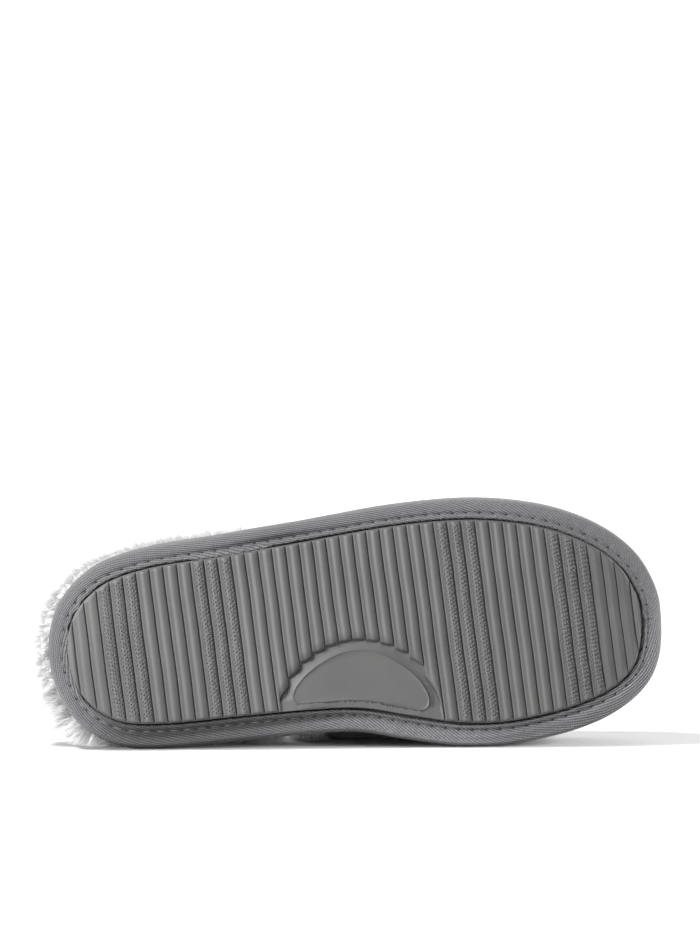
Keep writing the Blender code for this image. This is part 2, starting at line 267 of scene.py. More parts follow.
# Columns: share of the loop, wider, channel, square, ragged, lip tone; the lip tone is painted light and
# shade on the lip, lighter along the top and darker along the bottom where the lip lies in shade
SWELL = (
    (0.0, 0.0, -0.8, 1.4, 1.0, 1.0),
    (0.018, 0.0, -0.8, 1.4, 1.0, 1.0),
    (0.0335, 0.0, -0.5, 1.3, 1.5, 1.05),
    (0.05, 0.1, -0.4, 1.1, 1.5, 1.05),
    (0.095, 0.3, -0.1, 0.8, 1.5, 1.1),
    (0.14, 0.55, 0.0, 0.7, 2.0, 1.1),
    (0.185, 0.6, 0.1, 0.7, 2.0, 1.1),
    (0.214, 0.35, 0.2, 0.7, 1.2, 1.12),
    (0.244, 0.43, 0.15, 0.7, 1.0, 1.12),
    (0.274, 0.65, 0.1, 0.7, 1.0, 1.12),
    (0.304, 0.65, 0.1, 0.7, 1.0, 1.12),
    (0.334, 0.85, 0.05, 0.7, 1.0, 1.1),
    (0.363, 1.1, 0.0, 0.8, 1.0, 1.05),
    (0.393, 1.2, -0.05, 0.9, 1.2, 1.0),
    (0.425, 1.15, -0.15, 1.1, 1.2, 1.0),
    (0.455, 0.7, -0.3, 1.3, 1.4, 1.0),
    (0.47, 0.5, -0.4, 1.4, 1.6, 1.0),
    (0.485, 0.5, -0.45, 1.4, 2.2, 1.0),
    (0.50, 0.0, -0.45, 0.6, 2.6, 1.0),
    (0.51, 0.2, -0.3, 0.5, 2.6, 1.05),
    (0.525, 0.8, -0.3, 0.7, 2.4, 1.1),
    (0.54, 0.7, -0.2, 1.4, 1.8, 1.1),
    (0.56, 0.5, 0.0, 1.5, 1.2, 1.05),
    (0.58, 0.8, 0.2, 1.7, 1.0, 0.95),
    (0.60, 0.6, 0.3, 1.9, 1.0, 0.85),
    (0.655, 0.3, 0.3, 2.3, 1.0, 0.75),
    (0.685, 0.5, 0.2, 2.4, 1.0, 0.78),
    (0.735, 0.6, 0.2, 2.4, 1.0, 0.7),
    (0.765, 0.5, 0.2, 2.4, 1.0, 0.62),
    (0.795, 0.5, 0.2, 2.2, 1.0, 0.62),
    (0.825, 0.8, 0.2, 1.8, 1.0, 0.66),
    (0.885, 0.7, 0.2, 1.7, 1.0, 0.72),
    (0.935, 0.45, 0.2, 1.7, 1.0, 0.72),
    (0.955, 0.2, 0.0, 1.6, 1.0, 0.85),
    (0.968, 0.1, -0.4, 1.5, 1.0, 0.95),
    (0.975, 0.0, -0.75, 1.4, 1.0, 1.0),
    (1.0, 0.0, -0.8, 1.4, 1.0, 1.0),
)
# How far out and up the lip's painted light and shade reaches
LIP_SHADE_OUT = (3.4, 5.0)
LIP_SHADE_HEIGHT = (5.0, 8.0)
FACE_FADE = (5.0, 10.0)
SQUARE_OUT = 8.0
SQUARE_WIDTH = 1.3
SQUARE_FADE = (7.0, 11.0)
JOINT = 0.505
JOINT_HALF = 0.001
JOINT_STEP = 0.25
STEP_FADE = (2.5, 5.5)
JOINT_FADE = 3.0
# Columns: share of the loop, degrees from the band, contrast, tone; the tone is painted light and shade,
# darker along the lower heel side and lighter at the toe and the arch
TWILL = (
    (0.0, 9.0, 1.35, 0.74),
    (0.06, 9.0, 1.4, 0.84),
    (0.13, 16.0, 1.3, 0.88),
    (0.17, 19.0, 1.2, 0.84),
    (0.20, 22.0, 1.1, 0.76),
    (0.235, 23.0, 1.1, 0.86),
    (0.30, 24.0, 1.0, 0.94),
    (0.36, 28.0, 0.70, 1.04),
    (0.40, 34.0, 0.45, 1.08),
    (0.44, 44.0, 0.30, 1.15),
    (0.47, 52.0, 0.25, 1.25),
    (0.504, 62.0, 0.3, 1.7),
    (0.506, 16.0, 0.4, 1.75),
    (0.52, 12.0, 0.75, 1.7),
    (0.535, 9.0, 1.1, 1.75),
    (0.56, 8.0, 1.1, 1.75),
    (0.585, 10.0, 1.0, 1.4),
    (0.635, 18.0, 0.75, 1.15),
    (0.68, 34.0, 0.75, 1.45),
    (0.735, 30.0, 0.85, 1.32),
    (0.765, 26.0, 0.9, 1.05),
    (0.80, 22.0, 0.95, 0.74),
    (0.84, 20.0, 1.0, 0.50),
    (0.885, 17.0, 1.1, 0.40),
    (0.92, 14.0, 1.1, 0.40),
    (0.94, 13.0, 1.15, 0.62),
    (0.955, 11.0, 1.25, 0.98),
    (0.97, 10.0, 1.3, 0.92),
    (1.0, 9.0, 1.35, 0.74),
)
TWILL_SPACING = 1.05
PICK_SPACING = 0.95
TWILL_MIDDLE = 10.0
FACE_HEIGHT = 11.0
FACE_STRETCH = 1.2
WALL_STRETCH = 0.75
WALL_START = 5.0
# Columns: share of the loop, gap, raised, trough
LIP = (
    (0.0, -0.4, 1.05, 0.0),
    (0.018, -0.4, 1.05, 0.0),
    (0.0215, 0.50, 0.5, 0.0),
    (0.0335, 0.50, 0.4, 0.0),
    (0.037, -0.3, 0.95, 0.0),
    (0.043, 0.34, 0.2, 0.0),
    (0.10, 0.42, 0.0, 0.25),
    (0.125, 0.36, 0.1, 0.4),
    (0.136, -0.2, 0.8, 0.5),
    (0.160, -0.3, 0.95, 0.9),
    (0.186, -0.1, 0.7, 1.7),
    (0.192, 0.34, 0.1, 1.7),
    (0.205, 0.46, 0.0, 1.6),
    (0.225, 0.48, 0.0, 0.8),
    (0.25, 0.42, 0.0, 0.15),
    (0.30, 0.38, 0.0, 0.0),
    (0.46, 0.44, 0.0, 0.0),
    (0.475, 0.55, 0.0, 0.0),
    (0.488, 1.0, -0.1, 0.0),
    (0.500, 0.7, 0.0, 0.0),
    (0.506, 1.3, -0.2, 0.0),
    (0.535, 0.9, 0.0, 0.0),
    (0.56, 0.44, 0.0, 0.0),
    (0.60, 0.45, -0.3, 0.3),
    (0.66, 0.6, -0.4, 0.6),
    (0.68, 1.1, -0.5, 0.9),
    (0.72, 1.3, -0.5, 1.2),
    (0.755, 1.1, -0.5, 1.8),
    (0.78, 0.6, -0.3, 2.4),
    (0.82, 0.44, 0.0, 2.4),
    (0.87, 0.44, 0.0, 2.2),
    (0.93, 0.42, 0.0, 2.0),
    (0.955, 0.36, 0.1, 1.2),
    (0.968, 0.30, 0.3, 0.4),
    (0.975, -0.3, 0.95, 0.0),
    (1.0, -0.4, 1.05, 0.0),
)
LIP_GAP = 0.38
LIP_FADE = (0.6, 2.2)
# Columns: share of the loop, out from the edge, half width
TROUGH = (
    (0.0, 3.3, 1.15),
    (0.62, 3.3, 1.15),
    (0.68, 3.5, 1.3),
    (0.73, 3.5, 1.3),
    (0.77, 4.0, 1.6),
    (0.82, 4.5, 1.8),
    (0.95, 4.9, 1.9),
    (0.975, 3.3, 1.15),
    (1.0, 3.3, 1.15),
)
# Columns: waves around the loop, size, phase
RIPPLES = ((47, 0.06, 0.3), (101, 0.07, 1.1), (173, 0.07, 2.7), (263, 0.06, 4.0))
# Columns: from share, to share, fibres, length
FRAY = ((0.132, 0.192, 320, 1.3), (0.965, 1.0, 170, 1.0), (0.0, 0.04, 170, 1.0), (0.492, 0.512, 150, 1.5))
FRAY_SPAN = (0.58, 2.2)
FRAY_ROOTS = (0.5, 2.2)
FRAY_HEIGHT = 2.6
FRAY_LIFT = 0.1
FRAY_INWARD = 0.5
FRAY_PROUD = 0.35
FRAY_STRAY = 0.7
FRAY_SPREAD = (1.0, 1.0, 0.3)
BAND_LOOP = 450
STITCH_SPACING = 5.7
STITCH_OUT = 2.7
STITCH_HEIGHT = 2.95
STITCH_HALF = 0.34
STITCH_SIDES = 8
STITCH_STEPS = 9
THREAD_RADIUS = 0.24
THREAD_TAPER = 3.5
THREAD_TIP = 0.02
THREAD_FLATNESS = 0.8
THREAD_SINK = 0.1
THREAD_DIVE = 0.4
CHANNEL_WIDTH = 0.75
PUCKER = 0.16
PUCKER_EASE = 0.2
PUCKER_SWELL = 0.45
SWELL_OUT = 5.0
SWELL_WIDTH = 1.6
HOLE_REACH = 1.1
HOLE_PULL = 2.0
HOLE_EASE = 0.5
HOLE_AIM = 0.2
HOLE_LENGTH = (0.38, 0.5)
HOLE_BREADTH = (0.32, 0.42)
HOLE_TEAR = 0.2
HOLE_TEARS = (0.4, 1.0)
HOLE_PROUD = 0.42
HOLE_DISH = 0.14

# Vamp
VAMP_START = -14.0
VAMP_BASE = 20.1
VAMP_OUT = 5.0
VAMP_WALL = 6.0
# Columns: station, height above the platform
VAMP_CREST = ((-14.0, 58.4), (20.0, 52.4), (60.0, 42.4), (95.0, 35.9), (135.0, 30.4))
TOE_BOX_START = 88.0
TOE_BOX_POWER = 2.6
VAMP_POWER = 2.6
CREST_SHIFT = 0.16
BULGE = {"medial": 13.6, "lateral": 2.2}
BULGE_PEAK = 0.286
# Creases: start and end, each (station, share of the arch), half width, depth (negative for a ridge)
CREASES = (
    ((-6.0, 0.78), (30.0, 0.70), 5.0, 1.1),
    ((2.0, 0.86), (38.0, 0.82), 4.0, 0.8),
    ((8.0, 0.62), (44.0, 0.55), 7.0, 0.9),
    ((50.0, 0.74), (84.0, 0.66), 6.0, 0.8),
    ((-4.0, 0.22), (26.0, 0.30), 6.0, 0.9),
    ((40.0, 0.26), (72.0, 0.36), 7.0, 0.7),
    ((70.0, 0.45), (104.0, 0.52), 8.0, 0.6),
    ((18.0, 0.40), (40.0, 0.46), 6.0, -0.5),
)
VAMP_GIRTH = 150.0
CREASE_END = 0.03
CREASE_FADE = 0.6
CREASE_BASE = 0.08
GATHER_SIZE = 0.30
GATHER_WAVES = (1.15, 0.35)
GATHER_REACH = 7.0
GATHER_START = (20.0, 95.0)
TIP_OPENING = 0.02
VAMP_STATIONS = 110
VAMP_ARC = 120

# Fur roll
CUFF_GAP = 0.35
CUFF_HALF_LENGTH = 5.5
CUFF_HALF_THICKNESS = 5.6
CUFF_OUT = 3.0
CUFF_SIDES = 28
CUFF_ARC = 90

# Fur footbed
# Columns: out and height at the open heel, then under the vamp
PILE = (
    (-6.0, 20.5, -10.0, 20.5),
    (4.6, 20.6, -3.7, 20.5),
    (8.0, 20.4, -3.2, 21.8),
    (9.6, 22.4, -3.2, 23.6),
    (9.5, 26.0, -3.7, 25.4),
    (7.2, 29.4, -5.2, 27.0),
    (2.0, 31.3, -9.0, 28.2),
)
PILE_MARGIN = {"heel": 11.6, "toe": 9.0, "medial": 8.6, "lateral": 9.6}
PILE_REACH = 9.6
COVER_START = -39.0
COVER_END = -27.0
PILE_STEPS = 3
# Columns: share of the way to the middle, rise
PILE_DOME = ((0.2, 0.35), (0.45, 0.7), (0.65, 0.9), (0.8, 1.0), (1.0, 1.05))
PILE_LOOP = 160

# Fur strands: width, droop towards the ground and size of a lock, then how far locks stray and gather
LINT = {"width": 0.13, "droop": 0.1, "lock": 2.0}
SPILL = {"width": 0.13, "droop": 0.6, "lock": 3.2, "segments": 5, "stray": 0.68, "gather": 0.34}
PILE_FUR = {
    "top": {"width": 0.32, "droop": 0.35, "lock": 5.0},
    "under": {"width": 0.4, "droop": 0.3, "lock": 5.0},
    "cuff": {"width": 0.27, "droop": 0.4, "lock": 4.0},
    "lining": {"width": 0.4, "droop": 0.25, "lock": 5.0},
}
STRANDS = {"spill": 21000, "top": 15000, "under": 5000, "cuff": 13000, "lining": 8000}
PILE_LENGTH = {"top": 6.5, "under": 5.0, "cuff": 4.8, "lining": 4.2}
PILE_LEAN = {"top": -0.55, "under": -0.5, "cuff": -0.35, "lining": -0.7}
SPILL_LOOPS = slice(4, -len(PILE_DOME) - 2)
TOP_LOOPS = slice(-len(PILE_DOME) - 3, None)
SPILL_FLATNESS = 0.35
SPILL_LEAN = (-0.25, 0.0, 0.10)
ARCH_LEAN = 0.9
CUFF_END_TRIM = 3.6
CUFF_END_HEIGHT = (24.0, 44.0)
LINING_EDGE = 4
LATTICE_START = 500.0
LOCK_SWAY = 0.38
STRAND_SWAY = 0.22
STRAND_CURL = 0.16
START_SWAY = 0.5
SWAY_STEP = 0.22
CURL_STEP = 0.5
STRAND_LENGTHS = (0.7, 1.15)
STRAND_TAPER = (1.0, 1.0, 0.9, 0.72, 0.46)
STRAND_CLEARANCE = 0.35
ROOT_DEPTH = 0.8
MEAN_TONE = 0.55
LOCK_TONE = 0.28
STRAND_TONE = 0.15

# Where the pile stands, as stretches of X or Y, and how thickly and how long it spills there
OPEN_END = (-40.0, -26.0)
OPEN_LEAST = 0.02
UNDER_START = (-34.0, -24.0)
ARCH_REAR = (-70.0, -40.0)
ARCH_FRONT = (-27.0, -22.0)
ARCH_SIDE = (16.0, 28.0)
ARCH_LEAN_START = (-52.0, -36.0)
HEEL_FADE = (-100.0, -40.0)
HEEL_END = (-112.0, -84.0)
SIDE_RISE = (10.0, 28.0)
SPILL_END = (-34.0, -25.0)
FLOOR_RISE = (14.0, 26.0)
FLOOR_END = (-108.0, -84.0)
LOWER_RISE = (0.0, 26.0)
UPPER_RISE = (8.0, 26.0)
UPPER_FRONT = (-85.0, -55.0)
LINING_FADE = (30.0, 90.0)
LEAST_WEIGHT = 0.001
SPILL_WEIGHT = {"all": 0.7, "heel": 2.2, "sides": 0.9, "arch": 9.0, "floor": 3.0}
SPILL_LENGTH = {
    "all": 3.6,
    "heel": 2.9,
    "lower heel": 4.6,
    "lower side": 3.6,
    "upper side": 1.8,
    "upper front": 1.6,
    "arch": 3.0,
}

# Floor and lights, in metres and watts; a light leaves the floor out, lights it alone, or neither
FLOOR_RADIUS = 2.7
FLOOR_RINGS = (0.5, 1.1)
FLOOR_BEND = 0.9
FLOOR_WALL = 2.3
FLOOR_SIDES = 96
BEND_STEPS = 16
SURROUND = 0.3
MIDDLE = (0.0, 0.0, 0.05)
# Columns: name, place, aim, size, power, floor
LIGHTS = (
    ("key", (-0.71, -0.56, 0.475), MIDDLE, 0.4, 31.0, "EXCLUDE"),
    ("floor key", (-0.6, -0.08, 1.35), MIDDLE, 0.15, 26.0, "INCLUDE"),
    ("fill", (1.6, 0.3, 0.5), MIDDLE, 0.9, 38.0, "EXCLUDE"),
    ("top", (0.5, 0.9, 1.5), (0.1, 0.1, 0.0), 1.4, 26.0, "EXCLUDE"),
    ("floor fill", (1.4, -0.6, 0.4), (0.1, 0.0, 0.0), 0.8, 70.0, "INCLUDE"),
    ("floor side", (-1.5, -0.3, 0.25), (-0.1, 0.0, 0.0), 0.5, 34.0, "INCLUDE"),
    ("backdrop", (0.0, 1.2, 1.9), (0.0, 2.7, 0.7), 1.2, 60.0, None),
)

# Camera, read from the photograph's perspective
IMAGE = (700, 933)
EYE = Vector((-0.11566, -1.20317, 0.1362))
AHEAD = Vector((0.09577, 0.9953, -0.01411))
UPWARD = Vector((-0.00184, 0.01435, 0.9999))
FOCAL_PIXELS = 2759.9
SENSOR = 36.0
CLIP = (0.05, 30.0)


def lying_axes():
    """The slipper's X, Y and Z axes in the world, one to a row."""
    ct, st = math.cos(TURN), math.sin(TURN)
    cl, sl = math.cos(LEAN), math.sin(LEAN)
    return np.array([(ct, st * sl, st * cl), (st, -ct * sl, -ct * cl), (0.0, cl, -sl)])


AXES = lying_axes()
# To the ground that the slipper lies on, and out of the tread
DOWN = -AXES[:, 2]
PROUD = np.array([0.0, 0.0, -1.0])


# Curves


def read(table, places):
    """The columns of a table after its first, each read at places along the first."""
    columns = np.array(table, float).T
    return [np.interp(places, columns[0], values) for values in columns[1:]]


def ease(x, start, end):
    """A smooth step from 0 at start to 1 at end."""
    share = np.clip((np.asarray(x, float) - start) / (end - start), 0.0, 1.0)
    return share * share * (3 - 2 * share)


def bell(off, width):
    """A bell curve, 1 in its middle."""
    return np.exp(-((off / width) ** 2))


def quarter_round(share):
    """A quarter round from 0 to 1."""
    share = np.clip(share, 0.0, 1.0)
    return np.sqrt(np.maximum(1 - (1 - share) ** 2, 0.0))


def half_round(share):
    """A half round, 0 at shares 0 and 1 and 1 midway."""
    return math.sqrt(max(1 - (2 * share - 1) ** 2, 0.0))


def unit(vectors):
    """Vectors of length one."""
    return vectors / np.maximum(np.linalg.norm(vectors, axis=-1, keepdims=True), TINY)


def hermite(share, here, leave, there, arrive):
    """Places at shares of a span, from its two ends and how it leaves and arrives at them."""
    return (
        here * (2 * share**3 - 3 * share**2 + 1)
        + leave * (share**3 - 2 * share**2 + share)
        + there * (3 * share**2 - 2 * share**3)
        + arrive * (share**3 - share**2)
    )


def smooth_through(points, steps, closed=True):
    """Points on a smooth curve through the given points, steps to each span."""
    points = np.asarray(points, float)
    count = len(points)
    share = np.linspace(0.0, 1.0, steps, endpoint=False)[:, None]
    spans = []
    for i in range(count if closed else count - 1):
        here, there = points[i], points[(i + 1) % count]
        before = points[i - 1] if closed or i else 2 * here - there
        after = points[(i + 2) % count] if closed or i + 2 < count else 2 * there - here
        length = np.linalg.norm(there - here)
        leave = (there - before) / (np.linalg.norm(here - before) + length) * length
        arrive = (after - here) / (np.linalg.norm(after - there) + length) * length
        spans.append(hermite(share, here, leave, there, arrive))
    if not closed:
        spans.append(points[-1:])
    return np.concatenate(spans)


def smooth_at(x, stations, values):
    """A smooth curve through the values at their stations, read at x."""
    slopes = np.gradient(values, stations)
    i = int(np.clip(np.searchsorted(stations, x) - 1, 0, len(stations) - 2))
    span = stations[i + 1] - stations[i]
    share = (x - stations[i]) / span
    return float(hermite(share, values[i], slopes[i] * span, values[i + 1], slopes[i + 1] * span))


def points_at(places, along, curve):
    """Points of a curve at places along it."""
    return np.column_stack([np.interp(places, along, part) for part in curve.T])


def even_points(curve, count):
    """count + 1 points spaced evenly along a curve."""
    steps = np.linalg.norm(np.diff(curve, axis=0), axis=1)
    along = np.concatenate([[0.0], np.cumsum(steps)])
    return points_at(np.linspace(0.0, along[-1], count + 1), along, curve)


def between(start, end, count):
    """count places spread evenly between two others."""
    return np.linspace(start, end, count + 2)[1:-1]


def around(sides):
    """Angles of the points of a ring."""
    return np.arange(sides) * 2 * math.pi / sides


def circle(radius, height, sides):
    """Points of a level ring."""
    turn = around(sides)
    return np.column_stack([radius * np.cos(turn), radius * np.sin(turn), np.full(sides, height)])


# Outline


def outline_halves():
    """The outsole's outline as two dense curves from heel tip to toe tip: lateral, then medial."""
    stations, inner, outer = np.array(OUTLINE).T
    medial = np.column_stack([stations, inner])
    lateral = np.column_stack([stations, -outer])
    loop = smooth_through(np.concatenate([[HEEL_TIP], lateral, [TOE_TIP], medial[::-1]]), OUTLINE_STEPS)
    toe = (len(OUTLINE) + 1) * OUTLINE_STEPS
    return loop[: toe + 1], np.concatenate([loop[toe:], loop[:1]])[::-1]


LATERAL, MEDIAL = outline_halves()


def edges_at(x):
    """Lateral and medial edge of the outsole at a station."""
    return tuple(float(np.interp(x, half[:, 0], half[:, 1])) for half in (LATERAL, MEDIAL))


def outline_loop(per_side):
    """A closed loop of points and outward normals, from the heel tip along the lateral side and back."""
    points = np.concatenate([even_points(LATERAL, per_side)[:-1], even_points(MEDIAL, per_side)[:0:-1]])
    ahead = np.roll(points, -1, axis=0) - np.roll(points, 1, axis=0)
    ahead /= np.linalg.norm(ahead, axis=1)[:, None]
    return points, np.column_stack([ahead[:, 1], -ahead[:, 0]])


def margin(normals, reach):
    """The reach in each outward direction, blended from the four named ones."""
    along, across = normals[:, 0], normals[:, 1]
    ends = np.where(along < 0, reach["heel"], reach["toe"])
    sides = np.where(across < 0, reach["lateral"], reach["medial"])
    return along**2 * ends + across**2 * sides


def spring(x):
    """How far the tread has curled up at a station."""
    toe = np.maximum(np.asarray(x, float) - TOE_SPRING_START, 0.0)
    heel = np.maximum(HEEL_SPRING_START - np.asarray(x, float), 0.0)
    return TOE_SPRING_RATE * toe**2 + HEEL_SPRING_RATE * heel**2


# Meshes


def mesh_object(name, points, groups, material, layers=None):
    """A smooth mesh from points in the slipper's frame; the faces of a group have equal corner counts."""
    mesh = bpy.data.meshes.new(name)
    world = (np.asarray(points, float) @ AXES + ORIGIN) * MM
    world[:, 2] = np.maximum(world[:, 2], FLOOR_CLEARANCE)
    counts = np.concatenate([np.full(len(g), np.shape(g)[1]) for g in groups])
    corners = np.concatenate([np.ravel(g) for g in groups]).astype(np.int32)
    mesh.vertices.add(len(world))
    mesh.vertices.foreach_set("co", world.astype(np.float32).ravel())
    mesh.loops.add(len(corners))
    mesh.loops.foreach_set("vertex_index", corners)
    mesh.polygons.add(len(counts))
    starts = np.concatenate([[0], np.cumsum(counts)[:-1]]).astype(np.int32)
    mesh.polygons.foreach_set("loop_start", starts)
    mesh.polygons.foreach_set("use_smooth", np.full(len(counts), True))
    mesh.update(calc_edges=True)
    for layer_name, values in (layers or {}).items():
        layer = mesh.uv_layers.new(name=layer_name)
        layer.data.foreach_set("uv", np.asarray(values, np.float32)[corners].ravel())
    mesh.validate()
    mesh.materials.append(material)
    obj = bpy.data.objects.new(name, mesh)
    bpy.context.scene.collection.objects.link(obj)
    return obj


def grid_faces(rows, columns, wrap_columns=False, first=0):
    """Quads of a grid of points stored row by row."""
    r = np.arange(rows - 1)[:, None] * columns
    c = np.arange(columns if wrap_columns else columns - 1)
    following = (c + 1) % columns
    quads = np.stack([r + c, r + following, r + columns + following, r + columns + c], axis=-1)
    return quads.reshape(-1, 4) + first


def fan(ring, centre, flip):
    """Triangles from a ring of point numbers to a centre."""
    ring = np.asarray(ring)
    following = np.roll(ring, -1)
    middle = np.full(len(ring), centre)
    return np.column_stack([following, ring, middle] if flip else [ring, following, middle])


def repeated(faces, count, size):
    """The faces of one shape for count shapes of size points each."""
    faces = np.asarray(faces)
    return (faces[None] + (np.arange(count) * size)[:, None, None]).reshape(-1, faces.shape[1])


def settle(obj, node):
    """Puts a piece on the slipper's one body in place of a node."""
    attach(obj, "root")
    if node:
        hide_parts(node)


# Materials


class Shader:
    """A material with a few helpers for linking nodes."""

    def __init__(self, name, colour, roughness, **values):
        self.material = bpy.data.materials.new(name)
        self.material.use_nodes = True
        self.tree = self.material.node_tree
        self.main = self.tree.nodes["Principled BSDF"]
        self.main.inputs["Base Color"].default_value = (*colour, 1.0)
        self.main.inputs["Roughness"].default_value = roughness
        for socket, value in values.items():
            self.main.inputs[socket.replace("_", " ")].default_value = value

    def node(self, kind, links=None, **settings):
        """A node with its settings and its inputs, each a value or another node's output."""
        node = self.tree.nodes.new(kind)
        for name, value in settings.items():
            setattr(node, name, value)
        for key, value in (links or {}).items():
            if isinstance(value, bpy.types.NodeSocket):
                self.tree.links.new(value, node.inputs[key])
            else:
                node.inputs[key].default_value = value
        return node

    def math(self, operation, first, second=0.0, third=0.0):
        """The result of a math node."""
        return self.node("ShaderNodeMath", {0: first, 1: second, 2: third}, operation=operation).outputs[0]

    def wave(self, phase):
        """A sine of the phase, from 0 to 1."""
        return self.math("MULTIPLY_ADD", self.math("SINE", phase), 0.5, 0.5)

    def noise(self, scale, detail=3.0):
        """A noise value in object space, scale per metre."""
        where = self.node("ShaderNodeTexCoord").outputs["Object"]
        links = {"Vector": where, "Scale": scale, "Detail": detail}
        return self.node("ShaderNodeTexNoise", links).outputs["Fac"]

    def ramp(self, value, *stops):
        """Colours along a value: stops of (place, colour)."""
        node = self.node("ShaderNodeValToRGB", {"Fac": value})
        elements = node.color_ramp.elements
        while len(elements) < len(stops):
            elements.new(0.5)
        for element, (place, colour) in zip(elements, stops):
            element.position = place
            element.color = (*colour, 1.0)
        return node.outputs["Color"]

    def mottle(self, value, low, high):
        """A colour from low to high over the middle of a noise value."""
        return self.ramp(value, (0.3, low), (0.7, high))

    def mix(self, factor, first, second):
        """A mix of two colours that other nodes put out."""
        return self.node("ShaderNodeMix", {0: factor, 6: first, 7: second}, data_type="RGBA").outputs[2]

    def uv(self, name):
        """A UV layer's two parts, on X and Y."""
        place = self.node("ShaderNodeUVMap", uv_map=name).outputs["UV"]
        return self.node("ShaderNodeSeparateXYZ", {"Vector": place})

    def scaled(self, colour, factor):
        """A colour times a factor."""
        node = self.node("ShaderNodeVectorMath", {0: colour, "Scale": factor}, operation="SCALE")
        return node.outputs["Vector"]

    def feed(self, socket, value):
        """Links a value to a socket of the main shader."""
        self.tree.links.new(value, self.main.inputs[socket])

    def bump(self, *layers):
        """Stacks bumps of (height, strength, distance in millimetres)."""
        links = {}
        for height, strength, distance in layers:
            links.update({"Height": height, "Strength": strength, "Distance": distance * MM})
            links["Normal"] = self.node("ShaderNodeBump", links).outputs["Normal"]
        self.feed("Normal", links["Normal"])


def rubber(name, shade):
    """Matt moulded rubber with faint mottling and dust, its colour scaled by shade."""
    s = Shader(name, (0.067, 0.067, 0.066), 0.6, Specular_IOR_Level=0.3)
    wide = s.noise(38.0, 4.0)
    fine = s.noise(900.0, 2.0)
    tone = s.mottle(wide, (0.0575, 0.0575, 0.057), (0.070, 0.070, 0.069))
    s.feed("Base Color", s.scaled(tone, shade))
    s.feed("Roughness", s.math("MULTIPLY_ADD", fine, 0.16, 0.5))
    s.bump((fine, 0.25, 0.12), (wide, 0.12, 0.5))
    return s.material


def twill():
    """Diagonal twill: U counts its lines, V the threads across them; a second layer gives contrast and a
    tone of painted light and shade.
    """
    s = Shader("band twill", (0.09, 0.09, 0.095), 0.9, Sheen_Weight=0.06, Sheen_Roughness=0.5)
    turns, contrast_and_shade = s.uv("UVMap"), s.uv("Cloth")
    sway = s.math("MULTIPLY", s.noise(220.0), 1.6)
    ridge = s.wave(s.math("MULTIPLY_ADD", turns.outputs["X"], 2 * math.pi, sway))
    yarn = s.wave(s.math("MULTIPLY_ADD", turns.outputs["Y"], 2 * math.pi, sway))
    dashes = s.math("MULTIPLY", ridge, s.math("MULTIPLY_ADD", yarn, 0.45, 0.55))
    lines = s.math("MULTIPLY_ADD", s.math("SUBTRACT", dashes, 0.39), contrast_and_shade.outputs["X"], 0.15)
    weave = s.math("MULTIPLY_ADD", s.noise(1500.0, 1.0), 0.7, lines)
    shadow, middle, light = (0.022, 0.022, 0.024), (0.062, 0.062, 0.065), (0.13, 0.13, 0.135)
    tone = s.ramp(weave, (0.12, shadow), (0.5, middle), (0.88, light))
    worn = s.mix(s.math("MULTIPLY", s.noise(45.0, 5.0), 0.3), tone, (0.064, 0.064, 0.067, 1.0))
    # The colour is scaled by the tone of painted light and shade
    s.feed("Base Color", s.scaled(worn, contrast_and_shade.outputs["Y"]))
    s.bump((weave, 0.7, 0.35), (s.noise(2600.0, 2.0), 0.25, 0.15))
    return s.material


def thread():
    """Sewing thread, a twist of plies."""
    s = Shader("sewing thread", (0.22, 0.22, 0.23), 0.8, Sheen_Weight=0.2)
    twist = s.noise(1500.0, 1.0)
    s.feed("Base Color", s.mottle(twist, (0.045, 0.045, 0.048), (0.08, 0.08, 0.084)))
    s.bump((twist, 0.5, 0.2))
    return s.material


def dark_hole():
    """Painted shade in the hole a needle makes: near black."""
    s = Shader("painted needle hole shade", (0.02, 0.02, 0.022), 1.0)
    s.feed("Base Color", s.mottle(s.noise(800.0), (0.008, 0.008, 0.009), (0.018, 0.018, 0.019)))
    return s.material


def fur(name, root, tip, low, through):
    """Strands: from a root colour darkened as painted shade to the tip along V, each strand's own tone along
    U from low to 1, light let through.
    """
    s = Shader(name, tip, 0.75, Sheen_Weight=0.2, Sheen_Roughness=0.4)
    parts = s.uv("UVMap")
    along = s.ramp(parts.outputs["Y"], (0.0, root), (0.75, tip))
    tone = s.scaled(along, s.math("MULTIPLY_ADD", parts.outputs["X"], 1 - low, low))
    s.feed("Base Color", tone)
    if through:
        glow = s.node("ShaderNodeBsdfTranslucent", {"Color": tone})
        links = {"Fac": through, 1: s.main.outputs["BSDF"], 2: glow.outputs["BSDF"]}
        both = s.node("ShaderNodeMixShader", links)
        s.tree.links.new(both.outputs["Shader"], s.tree.nodes["Material Output"].inputs["Surface"])
    return s.material


def fleece(name, low, high):
    """Backing of the pile, seen between strands; its grey, darker than the strands, is painted shade deep in
    the pile.
    """
    s = Shader(name, high, 0.95, Sheen_Weight=0.4)
    tufts = s.noise(420.0, 4.0)
    s.feed("Base Color", s.mottle(tufts, low, high))
    s.bump((tufts, 0.9, 1.2), (s.noise(1800.0, 2.0), 0.4, 0.3))
    return s.material


def suede():
    """Napped cloth, brushed unevenly."""
    s = Shader("vamp suede", (0.11, 0.11, 0.116), 0.95, Sheen_Weight=0.25, Sheen_Roughness=0.5)
    brushed = s.noise(30.0, 6.0)
    nap = s.noise(420.0, 5.0)
    tone = s.ramp(brushed, (0.35, (0.070, 0.070, 0.074)), (0.65, (0.125, 0.125, 0.131)))
    grain = s.mottle(nap, (0.060, 0.060, 0.064), (0.15, 0.15, 0.157))
    s.feed("Base Color", s.mix(0.55, tone, grain))
    s.bump((nap, 0.8, 0.6), (s.noise(1800.0), 0.5, 0.25), (brushed, 0.2, 1.2))
    return s.material


